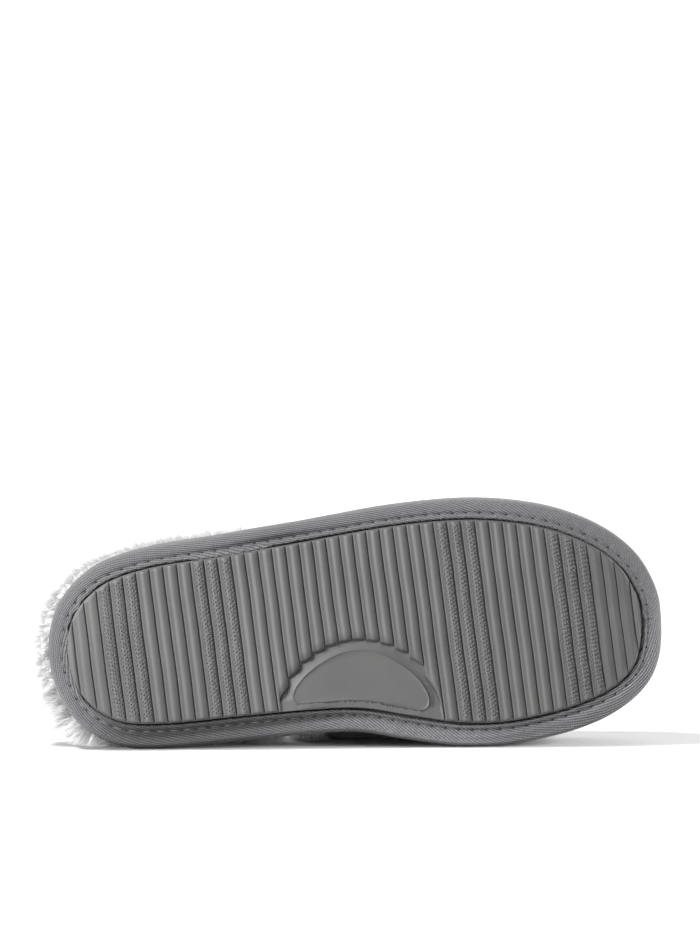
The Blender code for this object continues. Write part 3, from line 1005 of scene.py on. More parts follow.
def paper():
    """Pale studio floor."""
    s = Shader("studio floor", (0.86, 0.86, 0.86), 0.85)
    s.feed("Base Color", s.mottle(s.noise(6.0), (0.53, 0.53, 0.53), (0.55, 0.55, 0.55)))
    return s.material


# Outsole


def groove_stations():
    """Stations of the grooves: an even pitch with the small drifts of the moulding."""
    number = np.arange(GROOVE_COUNT)
    return (FIRST_GROOVE + RIB_PITCH * number + read(DRIFT, number)[0]).tolist()


GROOVES = groove_stations()


def wander(x, y):
    """How far the ribs stray along the slipper: a slight slant and the waver of soft rubber."""
    waves = [size * np.sin(y / across + x / along) for size, across, along in WOBBLE]
    return RIB_SLANT * y + np.sum(waves, axis=0)


def relief(x, share, depth):
    """Depth on a rib at a station: ribs flatten towards the heel and turn into plain rolls at the toe."""
    scale, roll = read(RELIEF, x)
    surface = RIB_LEVEL + (depth - RIB_LEVEL) * scale + roll * np.cos(2 * math.pi * share)
    return np.where(depth < WALL_DEPTH, surface, depth)


def tread_rows():
    """(station, depth of the rib, share of the pitch) for each row of the tread, from heel to toe."""
    rows = [(HEEL_TIP[0] + inset, depth, 0.5) for inset, depth in HEEL_ROWS]
    pitches = np.diff(GROOVES).tolist()
    for start, pitch in zip(GROOVES, pitches + pitches[-1:]):
        rows += [(start + share * pitch, depth, share) for share, depth in RIB]
    last = TOE_TIP[0] - TOE_ROWS[0][0] - TOE_ROW_GAP
    rows = [row for row in rows if row[0] < last]
    return rows + [(TOE_TIP[0] - inset, depth, 0.5) for inset, depth in TOE_ROWS]


def edge_depths(depth):
    """Depths at EDGE_STEPS in from the outsole's edge: smooth rim, then the rib's rounded end."""
    inside = (np.array(EDGE_STEPS) - RIM_WIDTH) / RIB_END_WIDTH
    depths = RIM_LEVEL + (depth - RIM_LEVEL) * quarter_round(inside)
    depths[: len(RIM_ROUNDING)] += RIM_ROUNDING
    return depths


PANEL_LOOP = smooth_through(PANEL, PANEL_STEPS)


def panel_span(x):
    """Lowest and highest y of the arch panel at a station, or nothing beyond its ends."""
    here, there = PANEL_LOOP, np.roll(PANEL_LOOP, -1, axis=0)
    crossing = (here[:, 0] - x) * (there[:, 0] - x) < 0
    if not crossing.any():
        return None
    here, there = here[crossing], there[crossing]
    share = (x - here[:, 0]) / (there[:, 0] - here[:, 0])
    y = here[:, 1] + share * (there[:, 1] - here[:, 1])
    return float(y.min()), float(y.max())


def plate_depth(x, y, high):
    """Depths of the arch plate at a station: panel, raised rim, and the ring that slopes away from it."""
    y = np.asarray(y, float)
    here = PANEL_LOOP[None]
    ahead = np.roll(PANEL_LOOP, -1, axis=0)[None] - here
    off = np.stack([np.full(len(y), x), y], axis=1)[:, None] - here
    along = np.clip((off * ahead).sum(axis=2) / (ahead * ahead).sum(axis=2), 0.0, 1.0)
    gap = np.linalg.norm(off - along[:, :, None] * ahead, axis=2).min(axis=1)
    span = panel_span(x)
    if span:
        gap = np.where((y > span[0]) & (y < span[1]), -gap, gap)
    depth = read(PLATE, gap)[0]
    low = LOW_STRIP_FLATTENING * ease(y - (high - PANEL_LOW_INSET), *LOW_STRIP_EDGE)
    return np.where(depth > PANEL_FOOT, PANEL_FOOT + (depth - PANEL_FOOT) * (1 - low), depth)


def plate_columns(x, arc, rib_high):
    """y of the columns across the arch plate at a station."""
    span = panel_span(x)
    rim = np.array(PANEL_RIM_STEPS)
    if span is None or span[1] - span[0] < PANEL_LEAST * rim[-1]:
        return between(arc, rib_high, PLATE_COLUMNS)
    above, below = span[0] + rim, span[1] - rim[::-1]
    return np.concatenate(
        [
            between(arc, above[0], RING_COLUMNS),
            above,
            between(above[-1], below[0], PANEL_COLUMNS),
            below,
            between(below[-1], rib_high, RING_COLUMNS),
        ]
    )


def rib_end(x, share):
    """y where the rib at a station ends at the arch plate: each rib has a rounded tongue."""
    stations, ends = np.array(MOON).T
    middle = smooth_at(x + (0.5 - share) * RIB_PITCH, stations, ends)
    slant = TONGUE_SLANT * (smooth_at(x, stations, ends) - middle)
    return middle + slant - TONGUE * (1 - half_round(share))


def tread_row(x, depth, share):
    """(y, depth) across the tread at a station, from the lateral edge to the medial edge."""
    low, high = edges_at(x)
    steps = np.array(EDGE_STEPS)
    room = min(1.0, (high - low) / 2 / (steps[-1] + EDGE_ROOM))
    steps = steps * room
    rib_low, rib_high = low + steps[-1], high - steps[-1]
    arc = rib_end(x, share)
    middle = len(ARC_STEPS) + PLATE_COLUMNS
    gather = GATHER_STEP * (middle + 1) * room
    plate = MOON_START < x < MOON_END and rib_high - arc > gather
    bevel = 1 + BEVEL * half_round(share)
    start = arc + ARC_STEPS[0] * bevel if plate else rib_high - gather
    y = [low + steps, between(rib_low, start, PLAIN_COLUMNS)]
    z = [edge_depths(depth), np.full(PLAIN_COLUMNS, depth)]
    end_depth = depth
    if plate:
        arc_steps = np.array([step * bevel if step < 0 else step for step in ARC_STEPS])
        down = (arc_steps - arc_steps[0]) / (arc_steps[-1] - arc_steps[0])
        foot = plate_depth(x, [arc + arc_steps[-1]], high) + TRENCH * half_round(share)
        across = plate_columns(x, arc + arc_steps[-1], rib_high)
        y += [arc + arc_steps, across]
        z += [depth + (foot - depth) * down, plate_depth(x, across, high)]
        end_depth = float(z[-1][-1])
    else:
        y.append(between(start, rib_high, middle))
        z.append(np.full(middle, depth))
    y.append(high - steps[::-1])
    z.append(edge_depths(end_depth)[::-1])
    return np.concatenate(y), np.concatenate(z)


def make_outsole(material):
    """Ribbed rubber tread with smooth rim, arch plate, side wall and flat top."""
    rows = []
    walls = np.array([SIDE_WALL, OUTSOLE_TOP])
    for x, depth, share in tread_rows():
        y, z = tread_row(x, float(relief(x, share, depth)), share)
        low, high = y[0], y[-1]
        y = np.concatenate([y, [high, high, low, low]])
        z = np.concatenate([z, walls, walls[::-1]])
        rows.append(np.column_stack([x + wander(x, y), y, z + spring(x)]))
    width = len(rows[0])
    count = len(rows) * width
    groups = [
        grid_faces(len(rows), width, wrap_columns=True)[:, ::-1],
        fan(np.arange(width), count, True),
        fan(np.arange(count - width, count), count + 1, False),
    ]
    points = np.concatenate([*rows, [rows[0].mean(axis=0), rows[-1].mean(axis=0)]])
    obj = mesh_object("outsole_tread", points, groups, material)
    settle(obj, "outsole")


def make_pebbles(material):
    """Rows of small domes on the pebbled ribs, over all but each rib's heel-side strip."""
    rng = np.random.default_rng(SEEDS["pebbles"])
    places = []
    for rib in PEBBLED_RIBS:
        start, end = GROOVES[rib], GROOVES[rib + 1]
        for lane, share in enumerate(PEBBLE_LANES):
            x = start + share * (end - start)
            low, high = edges_at(x)
            first = low + PEBBLE_INSET + PEBBLE_SPACING * 0.5 * (lane % 2)
            y = np.arange(first, high - PEBBLE_INSET, PEBBLE_SPACING)
            xs = x + rng.normal(0, PEBBLE_STRAY, len(y))
            ys = y + rng.normal(0, PEBBLE_STRAY, len(y))
            size = rng.uniform(*PEBBLE_SIZES, len(y)) * (FIRST_LANE_SIZE if lane == 0 else 1.0)
            across = (xs - start) / (end - start)
            depth = relief(xs, across, read(RIB, across)[0])
            places.append(np.column_stack([xs + wander(xs, ys), ys, depth + spring(xs), size]))
    places = np.concatenate(places)
    rings = [circle(radius, height, PEBBLE_SIDES) for radius, height in PEBBLE_RINGS]
    dome = np.concatenate([*rings, [(0.0, 0.0, PEBBLE_TOP)]])
    rim = len(dome) - 1
    quads = grid_faces(len(rings), PEBBLE_SIDES, wrap_columns=True)[:, ::-1]
    top = fan(np.arange(rim - PEBBLE_SIDES, rim), rim, True)
    points = places[:, None, :3] + dome[None] * places[:, None, 3:]
    groups = [repeated(part, len(places), len(dome)) for part in (quads, top)]
    obj = mesh_object("outsole_pebbles", points.reshape(-1, 3), groups, material)
    settle(obj, None)


# Band


def band_loop():
    """Points, outward normals, distances and shares of the loop, once round from the twill's joint."""
    points, normals = outline_loop(BAND_LOOP)
    steps = np.linalg.norm(np.roll(points, -1, axis=0) - points, axis=1)
    total = steps.sum()
    first = int(np.searchsorted(np.cumsum(steps), JOINT * total)) + 1
    order = (np.arange(len(points) + 1) + first) % len(points)
    along = np.concatenate([[0.0], np.cumsum(steps[order[:-1]])])
    share = np.mod(along / total + JOINT, 1.0)
    share[0], share[-1] = JOINT + JOINT_HALF, JOINT - JOINT_HALF
    return points[order], normals[order], along, share


def running_sum(values, along):
    """The integral of values along the loop."""
    return np.concatenate([[0.0], np.cumsum((values[1:] + values[:-1]) / 2 * np.diff(along))])


class Band:
    """The band's loop, with what varies along it."""

    def __init__(self):
        self.points, self.normals, self.along, self.share = band_loop()
        self.total = self.along[-1]
        # The lip tone column is painted light and shade on the lip
        wider, self.channel, self.square, ragged, self.lip_painted_shade = read(SWELL, self.share)
        self.gap, self.raised, self.trough = read(LIP, self.share)
        self.trough_out, self.trough_width = read(TROUGH, self.share)
        self.wide = (margin(self.normals, BAND_MARGIN) + wider) / BAND_REACH
        self.stitches = round(self.total / STITCH_SPACING)
        self.stitch = self.total / self.stitches
        off = np.mod(self.along / self.stitch + 0.5, 1.0) - 0.5
        self.hole = HOLE_PULL * bell(off * self.stitch, HOLE_REACH) - HOLE_EASE
        turn = 2 * math.pi * self.along / self.total
        waves = [size * np.sin(count * turn + start) for count, size, start in RIPPLES]
        self.ripple = ragged * np.sum(waves, axis=0)
        self.step = JOINT_STEP * np.exp(-(self.total - self.along) / JOINT_FADE)

    def ring(self, out, height):
        """Points around the loop for one point of the band's profile."""
        below = 1 - ease(height, *FACE_FADE)
        lip = below * (1 - ease(out, *LIP_FADE))
        channel = below * bell(out - STITCH_OUT, CHANNEL_WIDTH)
        trough = below * bell(out - self.trough_out, self.trough_width)
        square = (1 - ease(height, *SQUARE_FADE)) * bell(out - SQUARE_OUT, SQUARE_WIDTH)
        swell = below * bell(out - SWELL_OUT, SWELL_WIDTH)
        step = below * (1 - ease(out, *STEP_FADE))
        reach = out * (self.wide if out > 0 else 1.0) + lip * (self.gap - LIP_GAP + self.ripple)
        pucker = PUCKER * (channel * (self.hole - PUCKER_EASE) + PUCKER_SWELL * swell * self.hole)
        lift = pucker + channel * self.channel + trough * self.trough - square * self.square
        lift = lift - lip * (self.raised + self.ripple) - step * self.step
        plan = self.points + self.normals * reach[:, None]
        return np.column_stack([plan, height + lift + spring(plan[:, 0])])

    def stitch_line(self, places):
        """Points of the stitch channel at places along the loop."""
        return points_at(np.mod(places, self.total), self.along, self.ring(STITCH_OUT, STITCH_HEIGHT))


BAND_RUN = Band()


def twill_measure(profile):
    """Distance down the profile by which the twill's lines are counted.

    It is the length, but on the face the plan distance where that is more than a share of the length.
    """
    steps = np.diff(profile, axis=0)
    heights = profile[1:, 1]
    lengths = np.linalg.norm(steps, axis=1)
    face = (steps[:, 0] > 0) & (heights < FACE_HEIGHT)
    plan = np.maximum(FACE_STRETCH * steps[:, 0], WALL_STRETCH * lengths * (heights > WALL_START))
    return np.concatenate([[0.0], np.cumsum(np.where(face, plan, lengths))])


def make_band(material):
    """Twill-covered platform: a rounded band with a lip, a puckered stitch channel and a joint."""
    run = BAND_RUN
    # The tone read here is painted light and shade around the band
    degrees, contrast, tone = read(TWILL, run.share)
    angle = np.radians(degrees)
    lines = running_sum(np.sin(angle) / TWILL_SPACING, run.along)
    picks = running_sum(np.cos(angle) / PICK_SPACING, run.along)
    profile = smooth_through(BAND, BAND_STEPS, closed=False)
    loops, threads, contrast_and_shade = [], [], []
    for (out, height), down in zip(profile, twill_measure(profile)):
        loops.append(run.ring(out, height))
        off = down - TWILL_MIDDLE
        # The tone and the lip tone scale the cloth's colour as painted light and shade
        lip_shade_mask = (1 - ease(height, *LIP_SHADE_HEIGHT)) * (1 - ease(out, *LIP_SHADE_OUT))
        contrast_and_shade.append(np.column_stack([contrast, tone * (1 - lip_shade_mask * (1 - run.lip_painted_shade))]))
        across = lines + off * np.cos(angle) / TWILL_SPACING
        threads.append(np.column_stack([across, picks - off * np.sin(angle) / PICK_SPACING]))
    grid = np.stack(loops)
    grid = np.concatenate([grid, grid[:, :1]], axis=1)
    layers = {"UVMap": np.stack(threads), "Cloth": np.stack(contrast_and_shade)}
    for name, uv in layers.items():
        layers[name] = np.concatenate([uv, uv[:, -1:]], axis=1).reshape(-1, 2)
    faces = grid_faces(*grid.shape[:2])
    obj = mesh_object("band_twill", grid.reshape(-1, 3), [faces], material, layers)
    settle(obj, "midsole")


def make_fray(material):
    """Loose fibres where the lip of the twill is torn."""
    rng = np.random.default_rng(SEEDS["fray"])
    run = BAND_RUN
    order = np.argsort(run.share)
    rings = [run.ring(out, FRAY_HEIGHT)[order] for out in FRAY_SPAN]
    roots, heading, length = [], [], []
    for start, end, fibres, reach in FRAY:
        share = rng.uniform(start, end, fibres)
        out = rng.uniform(*FRAY_ROOTS, fibres)
        edge, back = (points_at(share, run.share[order], ring) for ring in rings)
        mix = ((out - FRAY_SPAN[0]) / (FRAY_SPAN[1] - FRAY_SPAN[0]))[:, None]
        roots.append(edge * (1 - mix) + back * mix + FRAY_LIFT * PROUD)
        astray = rng.normal(0, FRAY_STRAY, (fibres, 3)) * FRAY_SPREAD
        heading.append(unit(unit(edge - back) * FRAY_INWARD + astray + FRAY_PROUD * PROUD))
        length.append(np.full(fibres, reach))
    roots, heading, length = (np.concatenate(part) for part in (roots, heading, length))
    make_fur("band_fray", material, "band_twill", roots, heading, length, rng, **LINT)


def make_stitches(material):
    """One row of stitches in the channel."""
    run = BAND_RUN
    turn = around(STITCH_SIDES)
    share = np.linspace(-1, 1, STITCH_STEPS)
    thick = THREAD_RADIUS * np.sqrt(np.maximum(1 - np.abs(share) ** THREAD_TAPER, THREAD_TIP))[:, None]
    sink = (THREAD_SINK + THREAD_DIVE * np.abs(share) ** 3)[:, None]
    rise = -(sink + thick * THREAD_FLATNESS * np.sin(turn))[:, :, None] * PROUD
    tubes = []
    for k in range(run.stitches):
        centre = run.stitch_line((k + 0.5 + STITCH_HALF * share) * run.stitch)
        ahead = unit(np.gradient(centre, axis=0))
        side = np.column_stack([-ahead[:, 1], ahead[:, 0], np.zeros(STITCH_STEPS)])
        tube = centre[:, None] + side[:, None] * (thick * np.cos(turn))[:, :, None] + rise
        tubes.append(tube.reshape(-1, 3))
    faces = grid_faces(STITCH_STEPS, STITCH_SIDES, wrap_columns=True)
    faces = repeated(faces, run.stitches, STITCH_STEPS * STITCH_SIDES)
    obj = mesh_object("band_stitches", np.concatenate(tubes), [faces], material)
    settle(obj, None)


def make_needle_holes(material):
    """Dark dishes laid on the band between the stitches: painted shade of the holes the needle made."""
    rng = np.random.default_rng(SEEDS["holes"])
    run = BAND_RUN
    turn = around(STITCH_SIDES)
    cups = []
    for k in range(run.stitches):
        centre = run.stitch_line(k * run.stitch + HOLE_AIM * np.array([-1.0, 0.0, 1.0]))
        ahead = unit(centre[2] - centre[0])
        side = np.array([-ahead[1], ahead[0], 0.0])
        reach = rng.uniform(*HOLE_LENGTH) + HOLE_TEAR * abs(ahead[0]) * rng.uniform(*HOLE_TEARS)
        breadth = rng.uniform(*HOLE_BREADTH)
        middle = centre[1] + HOLE_PROUD * PROUD
        rim = middle + np.outer(np.cos(turn), ahead * reach) + np.outer(np.sin(turn), side * breadth)
        cups.append(np.concatenate([rim - HOLE_DISH * PROUD, [middle]]))
    faces = repeated(fan(np.arange(STITCH_SIDES), STITCH_SIDES, True), run.stitches, STITCH_SIDES + 1)
    obj = mesh_object("band_painted_hole_shade", np.concatenate(cups), [faces], material)
    settle(obj, None)


# Vamp and fur roll


def offset_halves(out):
    """Lateral and medial curves that lie out from the outsole's edge, from heel to toe."""
    points, normals = outline_loop(OFFSET_LOOP)
    wide = margin(normals, BAND_MARGIN) / BAND_REACH
    plan = points + normals * (out * wide)[:, None]
    half = len(plan) // 2
    return plan[: half + 1], np.concatenate([plan[half:], plan[:1]])[::-1]


VAMP_HALVES = offset_halves(VAMP_OUT)
VAMP_TIP = VAMP_HALVES[0][-1]


def vamp_section(x, inset, tip, steps):
    """Points of the vamp's arch at a station, from the lateral base over the crest to the medial base."""
    lateral, medial = VAMP_HALVES
    low = float(np.interp(x, lateral[:, 0], lateral[:, 1])) + inset
    high = float(np.interp(x, medial[:, 0], medial[:, 1])) - inset
    stations, heights = np.array(VAMP_CREST).T
    full = smooth_at(x, stations, heights)
    toe = max(x - TOE_BOX_START, 0.0) / (tip - TOE_BOX_START)
    crest = full * max(1 - toe**TOE_BOX_POWER, 0.0) ** (1 / TOE_BOX_POWER) - inset
    ridge = (low + high) / 2 + CREST_SHIFT * (high - low) / 2
    swell = full / heights[0]
    angle = np.linspace(0.0, math.pi, steps + 1)
    side = np.sign(np.cos(angle)) * np.abs(np.cos(angle)) ** (2 / VAMP_POWER)
    rise = np.abs(np.sin(angle)) ** (2 / VAMP_POWER)
    puff = np.sin(angle) * np.cos(angle) ** 4 / BULGE_PEAK * swell
    lateral_y = ridge - (ridge - low) * side - BULGE["lateral"] * puff
    medial_y = ridge - (high - ridge) * side + BULGE["medial"] * puff
    y = np.where(angle <= math.pi / 2, lateral_y, medial_y)
    return np.column_stack([np.full(steps + 1, x), y, VAMP_BASE + spring(x) + crest * rise])


def crease_depth(x, share):
    """How far the listed creases press the vamp in."""
    total = np.zeros(np.broadcast(x, share).shape)
    for (x0, s0), (x1, s1), width, depth in CREASES:
        ax, ay = x - x0, (share - s0) * VAMP_GIRTH
        bx, by = x1 - x0, (s1 - s0) * VAMP_GIRTH
        along = np.clip((ax * bx + ay * by) / (bx * bx + by * by), 0.0, 1.0)
        gap = np.hypot(ax - along * bx, ay - along * by)
        inside = CREASE_END + (1 - 2 * CREASE_END) * along
        total += depth * np.sin(math.pi * inside) ** CREASE_FADE * bell(gap, width)
    return total


def vamp_skin(inset):
    """A grid of points of one skin of the vamp, station by station, and its outward normals."""
    tip = float(VAMP_TIP[0]) - inset
    shares = np.sin(np.linspace(0.0, math.pi / 2, VAMP_STATIONS + 1))[:-1]
    stations = VAMP_START + (tip - VAMP_START) * shares
    rows = [vamp_section(float(x), inset, tip, VAMP_ARC) for x in stations]
    end = np.array([tip, float(VAMP_TIP[1]), VAMP_BASE + float(spring(tip))])
    rows.append(end + (rows[-1] - end) * TIP_OPENING)
    grid = np.stack(rows)
    return grid, unit(np.cross(np.gradient(grid, axis=1), np.gradient(grid, axis=0)))


def make_vamp(outer_material, lining_material):
    """Hollow vamp: napped outer with creases and a gathered base, and a pale lining joined to it."""
    outer, normals = vamp_skin(0.0)
    inner, _ = vamp_skin(VAMP_WALL)
    share = np.linspace(0.0, 1.0, VAMP_ARC + 1)[None, :]
    from_base = np.minimum(share, 1 - share)
    x, y = outer[:, :, 0], outer[:, :, 1]
    puckers = GATHER_SIZE * np.sin(x * GATHER_WAVES[0] + y * GATHER_WAVES[1])
    gathers = puckers * bell(from_base * VAMP_GIRTH, GATHER_REACH) * ease(x, *GATHER_START)
    press = crease_depth(x, share) * ease(from_base, 0.0, CREASE_BASE)
    outer = outer - normals * (press + gathers)[:, :, None]
    rows, width = outer.shape[:2]
    count = rows * width
    groups = [grid_faces(rows, width)[:, ::-1], grid_faces(rows, width, first=count)]
    throat = np.arange(width - 1)
    groups.append(np.column_stack([throat, throat + 1, count + throat + 1, count + throat]))
    for edge, flip in ((0, False), (width - 1, True)):
        near = np.arange(rows - 1) * width + edge
        strip = np.column_stack([near, count + near, count + near + width, near + width])
        groups.append(strip[:, ::-1] if flip else strip)
    points = np.concatenate([outer.reshape(-1, 3), inner.reshape(-1, 3)])
    obj = mesh_object("vamp", points, groups, outer_material)
    obj.data.materials.append(lining_material)
    slots = np.zeros(len(obj.data.polygons), np.int32)
    outer_faces = len(groups[0])
    slots[outer_faces : 2 * outer_faces + len(throat)] = 1
    obj.data.polygons.foreach_set("material_index", slots)
    settle(obj, "upper")


def cuff_grid():
    """Points of the fur roll, ring by ring along the throat."""
    path = vamp_section(VAMP_START, VAMP_OUT - CUFF_OUT, float(VAMP_TIP[0]), VAMP_ARC)[:, 1:]
    path = even_points(path, CUFF_ARC)
    ahead = np.gradient(path, axis=0)
    ahead[0], ahead[-1] = (0.0, 1.0), (0.0, -1.0)
    ahead /= np.linalg.norm(ahead, axis=1)[:, None]
    outward = np.column_stack([-ahead[:, 1], ahead[:, 0]])
    turn = around(CUFF_SIDES)
    middle = VAMP_START - CUFF_GAP - CUFF_HALF_LENGTH
    x = np.broadcast_to(middle + CUFF_HALF_LENGTH * np.cos(turn), (len(path), CUFF_SIDES))
    off = -CUFF_HALF_THICKNESS * np.sin(turn)
    yz = path[:, None] + outward[:, None] * off[None, :, None]
    return np.concatenate([x[:, :, None], yz], axis=2)


def make_cuff(material):
    """Padded core of the fur roll."""
    points = cuff_grid()
    rows, sides = points.shape[:2]
    flat = points.reshape(-1, 3)
    ends = np.array([points[0].mean(axis=0), points[-1].mean(axis=0)])
    groups = [
        grid_faces(rows, sides, wrap_columns=True),
        fan(np.arange(sides), len(flat), True),
        fan(np.arange(len(flat) - sides, len(flat)), len(flat) + 1, False),
    ]
    obj = mesh_object("cuff_core", np.concatenate([flat, ends]), groups, material)
    settle(obj, "cuff")


# Footbed


def pile_grid():
    """Points of the footbed's pile, loop by loop from its seat over the edge to the dome."""
    points, normals = outline_loop(PILE_LOOP)
    wide = margin(normals, PILE_MARGIN) / PILE_REACH
    covered = ease(points[:, 0], COVER_START, COVER_END)
    loops = []
    for open_out, open_height, covered_out, covered_height in smooth_through(PILE, PILE_STEPS, closed=False):
        open_reach = open_out * np.where(open_out > 0, wide, 1.0)
        out = open_reach * (1 - covered) + covered_out * covered
        height = open_height * (1 - covered) + covered_height * covered
        plan = points + normals * out[:, None]
        loops.append(np.column_stack([plan, height + spring(plan[:, 0])]))
    edge = loops[-1]
    centre = (edge + np.roll(edge[::-1], 1, axis=0)) / 2
    for share, rise in PILE_DOME:
        loops.append(edge * (1 - share) + centre * share - rise * PROUD)
    return np.stack(loops)


def make_footbed(material):
    """Backing of the fur footbed."""
    grid = pile_grid()
    loops, count = grid.shape[:2]
    i = np.arange(1, count // 2 - 1)
    across = np.column_stack([i, i + 1, count - i - 1, count - i])
    groups = [grid_faces(loops, count, wrap_columns=True), across[:, ::-1], across + (loops - 1) * count]
    obj = mesh_object("footbed_pile", grid.reshape(-1, 3), groups, material)
    settle(obj, "insole")


# Fur strands


def scatter(grid, wrap, count, rng, weight=None):
    """Random places on a grid of points, spread by area and weight, with their normals."""
    faces = grid_faces(*grid.shape[:2], wrap_columns=wrap)
    flat = grid.reshape(-1, 3)
    a, b, c, d = (flat[faces[:, k]] for k in range(4))
    normal = np.cross(c - a, d - b)
    area = np.linalg.norm(normal, axis=1)
    chance = area * weight((a + b + c + d) / 4) if weight else area
    picks = rng.choice(len(faces), size=count, p=chance / chance.sum())
    u, v = rng.random((count, 1)), rng.random((count, 1))
    a, b, c, d = (p[picks] for p in (a, b, c, d))
    place = a * (1 - u) * (1 - v) + b * u * (1 - v) + c * u * v + d * (1 - u) * v
    return place, unit(normal[picks])


def lock_numbers(roots, size):
    """The number of the lock that each strand belongs to: one for each cube of a lattice."""
    cells = np.floor((roots + LATTICE_START) / size).astype(int)
    _, numbers = np.unique(cells, axis=0, return_inverse=True)
    return numbers.reshape(-1)


def make_fur(
    name, material, slot, roots, heading, length, rng, width, droop, lock, segments=4, stray=1.0, gather=0.24
):
    """Tapered strands from their roots: each bends towards the ground and towards its lock."""
    count = len(roots)
    number = lock_numbers(roots, lock)
    locks = number.max() + 1
    sway = stray * (rng.normal(0, LOCK_SWAY, (locks, 3))[number] + rng.normal(0, STRAND_SWAY, (count, 3)))
    start = unit(heading + START_SWAY * sway)
    curl = stray * rng.normal(0, STRAND_CURL, (count, 3))
    reach = length * rng.uniform(*STRAND_LENGTHS, count)
    sums = [np.bincount(number, roots[:, i], locks) for i in range(3)]
    middle = (np.stack(sums, axis=1) / np.bincount(number, minlength=locks)[:, None])[number]
    centres = [roots - start * ROOT_DEPTH]
    here, way = roots, start
    for k in range(1, segments + 1):
        share = k / segments
        way = unit(way + DOWN * droop / segments + sway * SWAY_STEP + curl * CURL_STEP)
        here = here + way * (reach / segments)[:, None]
        here = here + (middle + start * (reach * share)[:, None] - here) * (gather * share)
        centres.append(here)
    centres = np.stack(centres, axis=1)
    heights = centres @ AXES[:, 2] + ORIGIN[2]
    centres = centres - np.maximum(STRAND_CLEARANCE - heights, 0.0)[:, :, None] * DOWN
    side = unit(np.cross(unit(centres[:, -1] - centres[:, 0]), rng.normal(0, 1, (count, 3))))
    off = side[:, None] * (width * np.array(STRAND_TAPER[:segments]) / 2)[None, :, None]
    body = centres[:, :-1]
    edges = np.stack([body - off, body + off], axis=2).reshape(count, -1, 3)
    points = np.concatenate([edges, centres[:, -1:]], axis=1)
    size = points.shape[1]
    k = np.arange(segments - 1) * 2
    quads = np.stack([k, k + 1, k + 3, k + 2], axis=1)
    tip = [[size - 3, size - 2, size - 1]]
    groups = [repeated(part, count, size) for part in (quads, tip)]
    lock_tone = rng.normal(0, LOCK_TONE, locks)[number]
    tone = np.clip(MEAN_TONE + lock_tone + rng.normal(0, STRAND_TONE, count), 0, 1)
    along = np.append(np.repeat(np.arange(segments) / segments, 2), 1.0)
    uvs = np.stack(np.broadcast_arrays(tone[:, None], along[None]), axis=2)
    obj = mesh_object(name, points.reshape(-1, 3), groups, material, {"UVMap": uvs.reshape(-1, 2)})
    settle(obj, None)


def open_heel(places):
    """1 on the open footbed, falling to almost nothing under the vamp."""
    return 1 - ease(places[:, 0], *OPEN_END) + OPEN_LEAST


def under_vamp(places):
    """1 under the vamp, falling to almost nothing on the open footbed."""
    return ease(places[:, 0], *UNDER_START) + LEAST_WEIGHT


def at_arch(places):
    """1 beside the hollow of the arch, where pile shows between band and floor."""
    along = ease(places[:, 0], *ARCH_REAR) * (1 - ease(places[:, 0], *ARCH_FRONT))
    return along * ease(places[:, 1], *ARCH_SIDE)


def spill_weight(places):
    """How thickly the spilling pile stands: more at the heel, sides, arch and floor."""
    x, y = places[:, 0], places[:, 1]
    heel = SPILL_WEIGHT["heel"] * (1 - ease(x, *HEEL_FADE))
    sides = SPILL_WEIGHT["all"] + SPILL_WEIGHT["sides"] * ease(abs(y), *SIDE_RISE)
    sides = sides * (1 - ease(x, *SPILL_END))
    floor = SPILL_WEIGHT["floor"] * ease(y, *FLOOR_RISE) * (1 - ease(x, *FLOOR_END))
    return heel + sides + SPILL_WEIGHT["arch"] * at_arch(places) + floor + LEAST_WEIGHT


def spill_length(places):
    """How long the spilling pile is: longest at the heel's lower side, and longer on the outer side."""
    x, y = places[:, 0], places[:, 1]
    heel = 1 - ease(x, *HEEL_END)
    lower = SPILL_LENGTH["lower heel"] * heel + SPILL_LENGTH["lower side"] * (1 - heel)
    upper = SPILL_LENGTH["upper side"] * (1 - heel) + SPILL_LENGTH["upper front"] * ease(x, *UPPER_FRONT)
    sides = lower * ease(y, *LOWER_RISE) + upper * ease(-y, *UPPER_RISE)
    return SPILL_LENGTH["all"] + SPILL_LENGTH["heel"] * heel + sides + SPILL_LENGTH["arch"] * at_arch(places)


def make_footbed_fur(material):
    """Pile of the footbed: longest where it spills over the open heel."""
    rng = np.random.default_rng(SEEDS["footbed"])
    grid = pile_grid()
    roots, normals = scatter(grid[SPILL_LOOPS], True, STRANDS["spill"], rng, spill_weight)
    outward = normals * (1.0, 1.0, SPILL_FLATNESS)
    ahead = ARCH_LEAN * at_arch(roots) * ease(roots[:, 0], *ARCH_LEAN_START)
    heading = unit(outward + SPILL_LEAN + ahead[:, None] * (1.0, 0.0, 0.0))
    length = spill_length(roots)
    make_fur("footbed_fur_spill", material, "footbed_fur", roots, heading, length, rng, **SPILL)
    for part, weight in (("top", open_heel), ("under", under_vamp)):
        roots, normals = scatter(grid[TOP_LOOPS], True, STRANDS[part], rng, weight)
        heading = unit(normals + (PILE_LEAN[part], 0.0, 0.0))
        length = np.full(len(roots), PILE_LENGTH[part])
        name = "footbed_fur_" + part
        make_fur(name, material, "footbed_fur", roots, heading, length, rng, **PILE_FUR[part])


def make_cuff_fur(material):
    """Pile of the roll along the vamp's rear edge, short at its two ends."""
    rng = np.random.default_rng(SEEDS["cuff"])
    roots, normals = scatter(cuff_grid(), True, STRANDS["cuff"], rng)
    heading = unit(normals + (PILE_LEAN["cuff"], 0.0, 0.0))
    length = PILE_LENGTH["cuff"] - CUFF_END_TRIM * (1 - ease(roots[:, 2], *CUFF_END_HEIGHT))
    make_fur("cuff_fur", material, "cuff_fur", roots, heading, length, rng, **PILE_FUR["cuff"])


